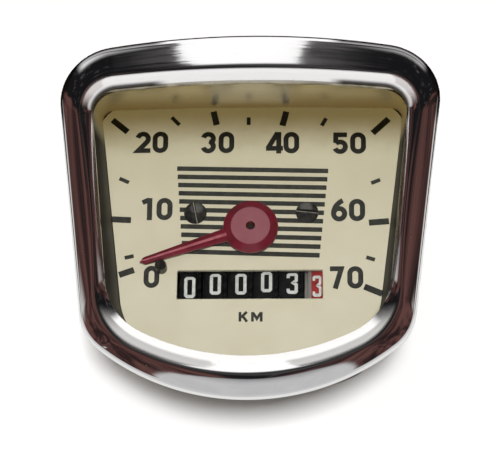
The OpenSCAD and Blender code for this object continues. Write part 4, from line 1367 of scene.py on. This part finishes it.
@dataclass
class WindowRim:
    """Rolled edge round the odometer window."""

    x: float = -0.14
    y: float = -11.33
    half_w: float = 14.35
    half_h: float = 2.97
    corner: float = 0.3
    bead_r: float = 0.13
    sunk: float = 0.01

    def build(self) -> bpy.types.Object:
        """Carry a small half-round bead along the window's rounded rectangle.

        Returns:
            The rim piece.
        """
        w = self.half_w - self.corner
        h = self.half_h - self.corner
        corners = [((w, -h), -90), ((w, h), 0), ((-w, h), 90), ((-w, -h), 180)]
        path = np.concatenate([arc(c, (self.corner,) * 2, a, a + 90, 9) for c, a in corners])
        middle = path + np.array([self.x, self.y])
        angle = np.linspace(0, np.pi, 9)[:, None, None]
        inward = np.array([self.x, self.y]) - middle
        span = np.abs(inward) >= np.array([w, h]) - 1e-6
        out = -np.sign(inward) * span
        out = out / np.maximum(np.linalg.norm(out, axis=1, keepdims=True), 1e-9)
        ring = middle + out * self.bead_r
        xy = ring + out * self.bead_r * np.cos(angle)
        rows = lifted(xy, DIAL_Z - self.sunk + self.bead_r * np.sin(angle))
        return Skin("window_rim").grid(rows, True, True).build("case", "dial_enamel", [CREAM])


@dataclass
class DialScrews:
    """Two blackened screws with domed, slotted heads."""

    x: float = 11.15
    y: float = 3.65
    radius: float = 2.25
    edge_h: float = 0.3
    dome_h: float = 0.9
    slot_w: float = 0.56
    slot_d: float = 0.8
    glint_w: float = 0.17
    turns: Span = (11.6, 83.0)
    chords: int = 15
    chord_points: int = 25

    def head(self, side: int) -> tuple[Array, Array]:
        """Domed head: a disc of straight chords raised by one minus the radius squared, with a sunk slot.

        Args:
            side: 0 for the left screw and 1 for the right one.

        Returns:
            The top grid and the wall grid.
        """
        half = self.slot_w / 2
        mid = self.glint_w / 2
        left = -self.radius * np.cos(np.linspace(0, 1, self.chords) * math.acos(half / self.radius))
        chord = np.concatenate([left, [-half, -mid, mid, half], -left[::-1]])
        sunk = np.concatenate([np.zeros(self.chords), np.ones(4), np.zeros(self.chords)])
        across = np.linspace(-1, 1, self.chord_points)
        x = np.broadcast_to(chord[:, None], (len(chord), len(across)))
        y = np.sqrt(np.maximum(self.radius ** 2 - x ** 2, 0.0)) * across
        bulge = self.dome_h * (1 - (x ** 2 + y ** 2) / self.radius ** 2)
        z = DIAL_Z + self.edge_h + np.where(sunk[:, None] > 0, self.dome_h - self.slot_d, bulge)
        turn = math.radians(self.turns[side])
        middle = self.x * (2 * side - 1)
        top = np.stack([middle + x * math.cos(turn) - y * math.sin(turn),
                        self.y + x * math.sin(turn) + y * math.cos(turn), z], axis=-1)
        loop = np.concatenate([top[:, 0], top[::-1, -1]])
        foot = loop.copy()
        foot[:, 2] = DIAL_Z
        return top, np.stack([foot, loop])

    def build(self) -> bpy.types.Object:
        """Make both heads.

        Returns:
            The screws piece.
        """
        skin = Skin("dial_screw_heads")
        first = self.chords - 1
        for side in (0, 1):
            top, wall = self.head(side)
            slot = np.zeros((len(top) - 1, 1), int)
            # The slot takes painted shade, with a painted glint strip in its middle.
            slot[first:first + 5, 0] = [1, 1, 2, 1, 1]
            skin.grid(top, mark=slot).grid(wall, wrap_columns=True)
        return skin.build("case", "blackened_steel", [BLACKENED, SLOT_SHADE, GLINT], ["dial_screws"], 32.0)


@dataclass
class StopPin:
    """Stop pin with a rounded top, beside the resting blade."""

    x: float = -17.65
    y: float = -7.97
    radius: float = 1.15
    height: float = 3.1
    round_r: float = 0.85

    def build(self) -> bpy.types.Object:
        """Turn a straight wall and a rounded top.

        Returns:
            The pin piece.
        """
        top = DIAL_Z + self.height
        turn = np.radians(np.linspace(0, 90, 9))
        roll = np.column_stack([self.radius - self.round_r * (1 - np.cos(turn)),
                                top - self.round_r * (1 - np.sin(turn))])
        profile = np.concatenate([[[0.0, DIAL_Z]], [[self.radius, DIAL_Z]], roll, [[0.0, top]]])
        skin = Skin("stop_peg").grid(turned(profile, 48, (self.x, self.y)), wrap_columns=True)
        return skin.build("case", "blackened_steel", [BLACKENED], ["stop_pin"])


@dataclass
class PointerHand:
    """Red pointer: a bevelled hub with a centre hole and a ridged blade with a hair-thin point."""

    z: float = 38.6
    top: float = 39.9
    hub_r: float = 5.45
    flat_r: float = 3.83
    hole_r: float = 0.86
    bush_r: float = 1.52
    step_z: float = 39.0
    bevel_h: float = 0.8
    rest: float = 198.4
    blade_z: float = 38.75
    shoulder: float = 22.25
    length: float = 23.0
    root_w: float = 2.75
    tip_w: float = 1.4
    edge_h: float = 0.3
    ridge_h: float = 0.58

    def hub(self) -> Array:
        """Hub: a turned profile with eased edges between the flat, the bevel and the rim.

        Returns:
            A grid of profile points by angles.
        """
        foot = self.top - self.bevel_h
        profile = np.array([
            [self.hole_r, self.step_z], [self.bush_r, self.step_z], [self.bush_r, self.z],
            [self.hub_r - 0.1, self.z], [self.hub_r, self.z + 0.1], [self.hub_r, foot - 0.06],
            [self.hub_r - 0.05, foot + 0.06], [self.flat_r + 0.12, self.top - 0.06],
            [self.flat_r - 0.1, self.top], [self.hole_r + 0.08, self.top], [self.hole_r, self.top - 0.08]])
        return turned(profile, 128)

    def blade(self) -> Array:
        """Blade: a ridged section of eight points that narrows from inside the hub to the point.

        Returns:
            A grid of sections by section points, turned to the resting angle.
        """
        along = np.array([self.hub_r - 0.7, 8.0, 12.0, 16.0, self.shoulder - 0.35, self.shoulder,
                          self.shoulder + 0.22, self.length - 0.1, self.length])
        slope = (self.tip_w - self.root_w) / (self.shoulder - self.hub_r)
        width = self.root_w + slope * (along - self.hub_r)
        width[-4:] = self.tip_w * np.array([0.86, 0.5, 0.18, 0.14])
        side = np.array([-0.5, 0.5, 0.5, 0.44, 0.11, -0.11, -0.44, -0.5])
        lift = np.array([0.0, 0.0, 0.85, 1.0, 1.0, 1.0, 1.0, 0.85])
        ridge = np.array([0.0, 0.0, 0.0, 0.06, 1.0, 1.0, 0.06, 0.0])
        rise = lift * self.edge_h + ridge * (self.ridge_h - self.edge_h)
        x = np.broadcast_to(along[:, None], (len(along), len(side)))
        local = np.stack([x, width[:, None] * side, np.broadcast_to(self.blade_z + rise, x.shape)], axis=-1)
        turn = math.radians(self.rest)
        cos, sin = math.cos(turn), math.sin(turn)
        return local @ np.array([[cos, sin, 0], [-sin, cos, 0], [0, 0, 1]])

    def build(self) -> bpy.types.Object:
        """Join the hub, the blade and the blade's ends.

        Returns:
            The pointer piece.
        """
        blade = self.blade()
        skin = Skin("pointer_hand")
        # The blade's ridge strip takes the painted highlight.
        ridge = np.array([0, 0, 0, 0, 1, 0, 0, 0])
        skin.grid(self.hub(), True, True).grid(blade, wrap_columns=True, mark=ridge)
        order = [[0, 7, 6, 5], [1, 2, 3, 4]]
        for end in (0, -1):
            skin.grid(blade[end][order])
        return skin.build("pointer_group", "pointer_red", [RED, RIDGE_HIGHLIGHT], ["pointer"], 24.0)


@dataclass
class DrumFigures:
    """White squared-off figures wrapped round each odometer drum."""

    axis_y: float = -11.33
    axis_z: float = 26.95
    radius: float = 9.0
    first_x: float = -12.36
    pitch: float = 5.06
    height: float = 4.5
    film: float = 0.03
    names: Sequence[str] = ("ten_thousands", "thousands", "hundreds", "tens", "units", "tenths")
    shown: Sequence[int] = (0, 0, 0, 0, 3, 3)
    offsets: Sequence[float] = (-0.15, 0.5, 0.5, 0.95, 0.6, 0.0)
    shift: float = 0.3
    last_shift: float = 0.12
    last_squeeze: float = 0.78
    figure_mid: float = 0.255
    longest_step: float = 0.06
    shortest_step: float = 0.012
    join_gap: float = 0.02

    def wrap(self, x: float, degrees: float, squeeze: float) -> Place:
        """A placing that wraps figure units round the drum, centred on an angle from the top toward +Y.

        Args:
            x: Middle of the band.
            degrees: Angle of the figure's middle.
            squeeze: Width of the figure against its drawn width.

        Returns:
            The placing: height along the figure becomes an angle, film thickness becomes radius.
        """
        def place(points: Array) -> Array:
            """Carry figure units to millimetres.

            Args:
                points: Points in figure units.

            Returns:
                The points in millimetres.
            """
            along = (points[..., 0] - self.figure_mid) * self.height * squeeze
            angle = math.radians(degrees) + (points[..., 1] - 0.5) * self.height / self.radius
            reach = self.radius + points[..., 2]
            y = self.axis_y + reach * np.sin(angle)
            z = self.axis_z + reach * np.cos(angle)
            return np.stack([x + along, y, z], axis=-1)
        return place

    def dense(self, stroke: Stroke) -> Array:
        """A stroke's path with each straight run cut into short steps, so it bends round the drum.

        Args:
            stroke: Stroke of a figure.

        Returns:
            The points of the finer path.
        """
        path = np.concatenate([stroke.path, stroke.path[:1]]) if stroke.closed else stroke.path
        gaps = np.linalg.norm(np.diff(path, axis=0), axis=1)
        far = np.concatenate([[0.0], np.cumsum(gaps)])
        extra = np.linspace(0, far[-1], 1 + int(far[-1] / self.longest_step))
        at = np.unique(np.round(np.concatenate([far, extra]), 6))
        at = at[np.concatenate([[True], np.diff(at) > self.shortest_step])]
        fine = np.column_stack([np.interp(at, far, path[:, 0]), np.interp(at, far, path[:, 1])])
        joined = stroke.closed and np.allclose(fine[0], fine[-1], atol=self.join_gap)
        return fine[:-1] if joined else fine

    def build(self) -> list[bpy.types.Object]:
        """Make one piece of figures for each drum.

        Returns:
            The pieces, from left to right.
        """
        pieces = []
        for k, name in enumerate(self.names):
            skin = Skin(f"figures_{name}")
            x = self.first_x + k * self.pitch
            last = k == len(self.names) - 1
            shift, squeeze = (self.last_shift, self.last_squeeze) if last else (self.shift, 1.0)
            for digit in range(10):
                turn = 36.0 * (digit - self.shown[k]) + math.degrees(self.offsets[k] / self.radius)
                place = self.wrap(x + shift, turn, squeeze)
                for j, stroke in enumerate(DRUM_FIGURES[digit]):
                    thick = self.film + LAYER * j
                    add_bar(skin, self.dense(stroke), DRUM_STROKE, thick, place, stroke.closed)
            slot = "drum_red" if last else "drum_black"
            pieces.append(skin.build(f"drum_{name}", slot, [FIGURE], (), 30.0))
        return pieces


@dataclass
class Threads:
    """Threaded collar, studs and nuts behind the case."""

    collar_r: float = 6.0
    collar_len: float = 12.0
    collar_pitch: float = 1.0
    neck_z: float = -1.6
    mouth_h: float = 0.3
    mouth_w: float = 0.25
    spigot_r: float = 5.0
    spigot_z: float = 2.6
    seat_r: float = 4.0
    seat_z: float = -8.4
    bush_r: float = 3.62
    stud_x: float = 14.0
    stud_y: float = 9.0
    stud_r: float = 2.5
    stud_len: float = 14.0
    stud_pitch: float = 0.8
    root_r: float = 3.0
    step_z: float = -5.6
    root_z: float = -5.1
    head_r: float = 3.7
    head_h: float = 1.2
    nut_flat_r: float = 4.95
    nut_low: float = -5.0
    nut_high: float = -1.0
    nut_gap: float = 0.02
    nut_ease: float = 0.05
    nut_cone: float = 30.0
    ridge_share: float = 0.54
    fade_share: float = 0.6
    chamfer_share: float = 0.35
    points_round: int = 72

    def thread(self, radius: float, pitch: float, low: float, high: float, centre: Sequence[float]) -> Array:
        """Helical thread: the radius follows a triangle wave of height minus the turn's share of the pitch.

        Args:
            radius: Crest radius.
            pitch: Distance between crests.
            low: Lower end.
            high: Upper end.
            centre: Place of the axis.

        Returns:
            A grid from the lower to the upper end, fading out at both.
        """
        angle = np.linspace(0, 2 * np.pi, self.points_round, endpoint=False)
        z = np.linspace(low, high, 1 + int((high - low) / pitch * 10))
        phase = z[:, None] / pitch - angle / (2 * np.pi)
        wave = np.abs(2 * (phase - np.floor(phase)) - 1)
        run_out = self.fade_share * pitch
        fade = np.clip(np.minimum(z - low, high - z) / run_out, 0, 1)[:, None]
        chamfer = np.clip(1 - (z - low) / run_out, 0, 1)[:, None] * self.chamfer_share * pitch
        r = radius - self.ridge_share * pitch * np.clip(wave * 1.15 - 0.08, 0, 1) * fade - chamfer
        return np.stack([centre[0] + r * np.cos(angle), centre[1] + r * np.sin(angle),
                         np.broadcast_to(z[:, None], r.shape)], axis=-1)

    def collar(self) -> bpy.types.Object:
        """Collar: thread outside, then the spigot, the bore for the bush and the cable seat inside.

        Returns:
            The collar piece.
        """
        outer = self.thread(self.collar_r, self.collar_pitch, -self.collar_len, self.neck_z, (0.0, 0.0))
        rest = turned(np.array([
            [self.collar_r, 0.0], [self.spigot_r, 0.0], [self.spigot_r, self.spigot_z],
            [self.bush_r, self.spigot_z], [self.bush_r, self.seat_z], [self.seat_r, self.seat_z],
            [self.seat_r, -self.collar_len + self.mouth_h],
            [self.seat_r + self.mouth_w, -self.collar_len]]), self.points_round)
        skin = Skin("threaded_collar").grid(np.concatenate([outer, rest]), True, True)
        return skin.build("case", "zinc", [ZINC], ["drive_collar"], 28.0)

    def studs(self) -> bpy.types.Object:
        """Studs: a threaded shank below the case and a plain head on the frame.

        Returns:
            The studs piece.
        """
        skin = Skin("threaded_studs")
        for side in (-1, 1):
            centre = (side * self.stud_x, self.stud_y)
            low = self.thread(self.stud_r, self.stud_pitch, -self.stud_len, self.step_z, centre)
            tip = turned(np.array([[0.0, -self.stud_len]]), self.points_round, centre)
            head_z = self.spigot_z + self.head_h
            profile = np.array([
                [self.root_r, self.root_z], [self.root_r, self.spigot_z], [self.head_r, self.spigot_z],
                [self.head_r, head_z - 0.2], [self.head_r - 0.3, head_z], [0.0, head_z]])
            rest = turned(profile, self.points_round, centre)
            skin.grid(np.concatenate([tip, low, rest]), wrap_columns=True)
        return skin.build("case", "plated_steel", [PLATED], ["mounting_studs"], 28.0)

    def nuts(self) -> bpy.types.Object:
        """Nuts: six flats whose ends fall away as a cone where the corners pass the flats' circle.

        Returns:
            The nuts piece.
        """
        low, high = self.nut_low, self.nut_high
        skin = Skin("hex_nuts")
        angle = np.linspace(0, 2 * np.pi, 2 * self.points_round, endpoint=False)
        corner = np.mod(angle + np.pi / 6, np.pi / 3) - np.pi / 6
        hexagon = self.nut_flat_r / np.cos(corner)
        cut = (hexagon - self.nut_flat_r) * math.tan(math.radians(self.nut_cone))
        bore = np.full_like(angle, self.root_r + self.nut_gap)
        face = np.full_like(angle, self.nut_flat_r - self.nut_ease)
        radii = np.stack([bore, face, hexagon, hexagon, face, bore])
        flat = np.zeros_like(angle)
        heights = np.stack([flat + low, flat + low, low + cut, high - cut, flat + high, flat + high])
        for side in (-1, 1):
            x = side * self.stud_x + radii * np.cos(angle)
            y = self.stud_y + radii * np.sin(angle)
            skin.grid(np.stack([x, y, heights], axis=-1), True, True)
        return skin.build("case", "plated_steel", [PLATED], ["stud_nuts"], 22.0)


# Stage


@dataclass(frozen=True)
class Lamp:
    """A soft square lamp that points at the origin and stays out of reflections; place and size in metres."""

    name: str
    place: Triple
    size: float
    power: float
    colour: Colour

    def build(self) -> None:
        """Add the lamp to the scene."""
        light = bpy.data.lights.new(self.name, "AREA")
        light.size = self.size
        light.energy = self.power
        light.color = self.colour
        lamp = add_object(self.name, light)
        place = Vector(self.place)
        aim = place.to_track_quat("Z", "Y").to_matrix().to_4x4()
        lamp.matrix_world = Matrix.Translation(place) @ aim
        lamp.visible_glossy = False


PLAIN = (1.0, 1.0, 1.0)
WARM = (1.0, 0.92, 0.82)
LAMPS = (
    Lamp("front", (0.055, -0.238, 1.015), 0.09, 11.2, PLAIN),
    Lamp("key", (-0.1, 0.3, 0.95), 0.4, 0.9, WARM),
    Lamp("left", (-0.75, 0.0, 0.55), 0.4, 0.55, WARM),
    Lamp("right", (0.75, 0.0, 0.55), 0.4, 0.55, WARM),
)


@dataclass
class Studio:
    """Floor, surroundings, lamps and camera."""

    target: Triple = (0.0, 0.0, DIAL_Z)
    tilt: float = 20.085
    yaw: float = 2.464
    roll: float = 0.562
    distance: float = 380.0
    focal_px: float = 1912.3
    middle_px: Span = (251.04, 230.32)
    frame_px: tuple[int, int] = (500, 451)
    sensor: float = 36.0
    floor_gap: float = 0.3
    floor_share: float = 0.05
    floor_half: float = 3.0
    far_y: Span = (0.03, 0.07)
    shade_r2: Span = (0.0034, 0.0022)
    card_white: Colour = (1.15, 1.15, 1.15)
    card_line: Colour = (0.35, 0.35, 0.35)
    side_brown: Colour = (0.125, 0.058, 0.052)
    side_dark: Colour = (0.022, 0.014, 0.014)
    side_glow: Colour = (0.62, 0.61, 0.6)
    room_black: Colour = (0.009, 0.009, 0.01)
    room_swirl: Colour = (0.13, 0.115, 0.12)
    room_grey: Colour = (0.075, 0.072, 0.072)
    dim_fill: Colour = (0.03, 0.022, 0.012)

    def view(self) -> Matrix:
        """Camera matrix: it looks at the dial from the tilt and yaw, rolled, and aimed a little off centre.

        Returns:
            The matrix in metres.
        """
        away = Vector((math.tan(math.radians(self.yaw)), -math.sin(math.radians(self.tilt)),
                       math.cos(math.radians(self.tilt)))).normalized()
        up = (Vector((0, 1, 0)) - away * away.y).normalized()
        right = up.cross(away)
        roll = math.radians(self.roll)
        right = right * math.cos(roll) + up * math.sin(roll)
        up = away.cross(right)
        place = (Vector(self.target) + away * self.distance) * MM
        aim_x = (self.middle_px[0] - self.frame_px[0] / 2) / self.focal_px
        aim_y = (self.frame_px[1] / 2 - self.middle_px[1]) / self.focal_px
        back = (away + right * aim_x + up * aim_y).normalized()
        right = (right - back * right.dot(back)).normalized()
        up = back.cross(right)
        matrix = Matrix((right, up, back)).transposed().to_4x4()
        matrix.translation = place
        return matrix

    def camera(self) -> None:
        """Add the camera with the photograph's focal length."""
        lens = bpy.data.cameras.new("camera")
        lens.sensor_fit = "HORIZONTAL"
        lens.sensor_width = self.sensor
        lens.lens = self.focal_px / self.frame_px[0] * self.sensor
        lens.clip_start = 0.01
        camera = add_object("camera", lens)
        camera.matrix_world = self.view()
        bpy.context.scene.camera = camera

    def floor(self) -> None:
        """Add a white floor that keeps the object's shadow; in mirrors it is dark behind the object and has a
        painted shadow under it.
        """
        low = cad_box[0][2] - self.floor_gap * MM
        corners = ((-1, -1), (1, -1), (1, 1), (-1, 1))
        mesh = bpy.data.meshes.new("floor")
        half = self.floor_half
        mesh.from_pydata([(x * half, y * half, low) for x, y in corners], [], [(0, 1, 2, 3)])
        made, graph = new_material("floor_white")
        x, y, _ = graph.axes(graph.object_coords())
        far = y.step(*self.far_y)
        # Painted shadow: mirrors see the floor dark round the object.
        shaded = (x * x + y * y).step(*self.shade_r2)
        paint = {"Base Color": (0.9, 0.9, 0.9, 1.0), "Roughness": 0.9, "Specular IOR Level": 0.0}
        matte = graph.surface(paint)
        white = graph.node("ShaderNodeEmission", {}, {"Color": (1.0, 0.94, 0.86, 1.0), "Strength": 1.0})
        around = graph.blend(shaded, (0.85, 0.85, 0.84), (0.11, 0.095, 0.075))
        around = graph.blend(far, around, (0.03, 0.03, 0.03))
        mirrored = graph.node("ShaderNodeEmission", {}, {"Color": around})
        camera, glossy = graph.rays()
        seen = graph.mixed(camera * self.floor_share, matte, white)
        graph.output(graph.mixed(glossy, seen, mirrored))
        mesh.materials.append(made)
        floor = add_object("floor", mesh)

    def pale_front(self, graph: Graph, coords: Value) -> Value:
        """Pale front: lighter towards the viewer and lower down, with faint clouds.

        Args:
            graph: Node tree of the world.
            coords: Directions.

        Returns:
            The colour.
        """
        _, y, z = graph.axes(coords)
        cloud = graph.noise(graph.scaled(coords, (5.0, 1.5, 1.5)), 2.0, 3.0).step(0.3, 0.75)
        pale = graph.blend(y.step(0.0, -0.45), (0.14, 0.14, 0.15), (0.54, 0.54, 0.55))
        pale = graph.blend(z.step(0.62, 0.45), pale, (0.6, 0.6, 0.61))
        return graph.blend(cloud * 0.12, pale, (0.98, 0.98, 0.97))

    def dark_room(self, graph: Graph, coords: Value, lean: Value) -> Value:
        """Dark room: swirls of black and grey above, brown streaks at the sides and a glow far out.

        Args:
            graph: Node tree of the world.
            coords: Directions.
            lean: Distance from the leaning middle line of the card.

        Returns:
            The colour.
        """
        x, y, z = graph.axes(coords)
        streaks = graph.noise(graph.scaled(coords, (4.0, 2.5, 1.0)), 1.6, 4.0, 0.6).step(0.36, 0.6)
        brown = graph.blend(streaks, self.side_dark, self.side_brown)
        swirls = graph.noise(graph.scaled(coords, (3.0, 8.0, 5.0)), 2.2, 6.0, 0.7)
        black = graph.blend(swirls.step(0.56, 0.7), self.room_black, self.room_swirl)
        black = graph.blend(lean.step(0.2, 0.12) * swirls.step(0.35, 0.6), black, self.room_grey)
        low = (swirls * 0.16 - y + (1.0 - z) * 0.45).step(-0.205, -0.16)
        aside = abs(x + 0.035)
        flank = aside.step(0.05, 0.08) * aside.step(0.4, 0.25) * (y + swirls * 0.04).step(0.41, 0.37)
        room = graph.blend(aside.step(0.03, 0.08) * low.at_least(flank), black, brown)
        glow = abs(x).step(0.84, 0.93) * (y * -1.0).step(-0.43, -0.38)
        return graph.blend(glow, room, self.side_glow)

    def world(self) -> None:
        """Surroundings: a narrow card and low white behind, a pale front and a dark room between."""
        world = bpy.data.worlds.new("studio")
        bpy.context.scene.world = world
        world.use_nodes = True
        graph = Graph(world.node_tree)
        coords = graph.node("ShaderNodeTexCoord", {}, {}, "Generated")
        x, y, z = graph.axes(coords)
        side = abs(x)
        depth = y.at_least(0.04)
        ragged = (graph.noise(coords, 34.0, 6.0, 0.75) - 0.5) * 0.045
        lean = abs(x / depth + z * 0.077 + 0.019 + ragged) + z * 0.058
        strip = lean.step(0.112, 0.106) * y.step(0.2, 0.3) * z.step(0.87, 0.82)
        behind = (side / depth).step(0.75, 0.55) * y.step(0.2, 0.35) * z.step(0.56, 0.44)
        wide = (side - 0.1).at_least(0.0).at_most(0.45) * z.step(0.46, 0.62) * 1.25
        before = (y * -1.0 - wide + ragged).step(0.11, 0.17)
        front = graph.blend(before, self.dark_room(graph, coords, lean), self.pale_front(graph, coords))
        lines = graph.noise(graph.scaled(coords, (7.0, 1.0, 42.0)), 1.0, 2.0).step(0.66, 0.72) * 0.6
        card = graph.blend(lines, self.card_white, self.card_line)
        scene = graph.blend(strip.at_least(behind), front, card)
        camera, mirrored = graph.rays()
        dim = graph.blend(mirrored, graph.blend(0.75, scene, self.dim_fill), scene)
        colour = graph.blend(camera, dim, PLAIN)
        sky = graph.node("ShaderNodeBackground", {}, {"Color": colour, "Strength": 1.0})
        graph.output(sky, "ShaderNodeOutputWorld")

    def build(self) -> None:
        """Add everything that isn't part of the object."""
        self.camera()
        self.floor()
        self.world()
        for lamp in LAMPS:
            lamp.build()
        bpy.context.scene.view_settings.view_transform = "Standard"


def dress_nodes() -> None:
    """Give every node of the frame the finish of its record slot."""
    for part in frame["record"]["subparts"]:
        node = frame["nodes"][part["node"]]
        finish = SLOT_FINISHES[part["material_slot"]]
        node.data.materials.clear()
        node.data.materials.append(finish.material())
        log.info("%s: %s", part["node"], finish.name)


def main() -> None:
    """Build every sub-assembly in order."""
    logging.basicConfig(level=logging.INFO, format="%(message)s")
    dress_nodes()
    Bezel().build()
    Well().build()
    CaseBowl().build()
    DialPrint().build()
    WindowRim().build()
    DialScrews().build()
    StopPin().build()
    PointerHand().build()
    DrumFigures().build()
    threads = Threads()
    threads.collar()
    threads.studs()
    threads.nuts()
    Studio().build()


if __name__ == "__main__":
    main()
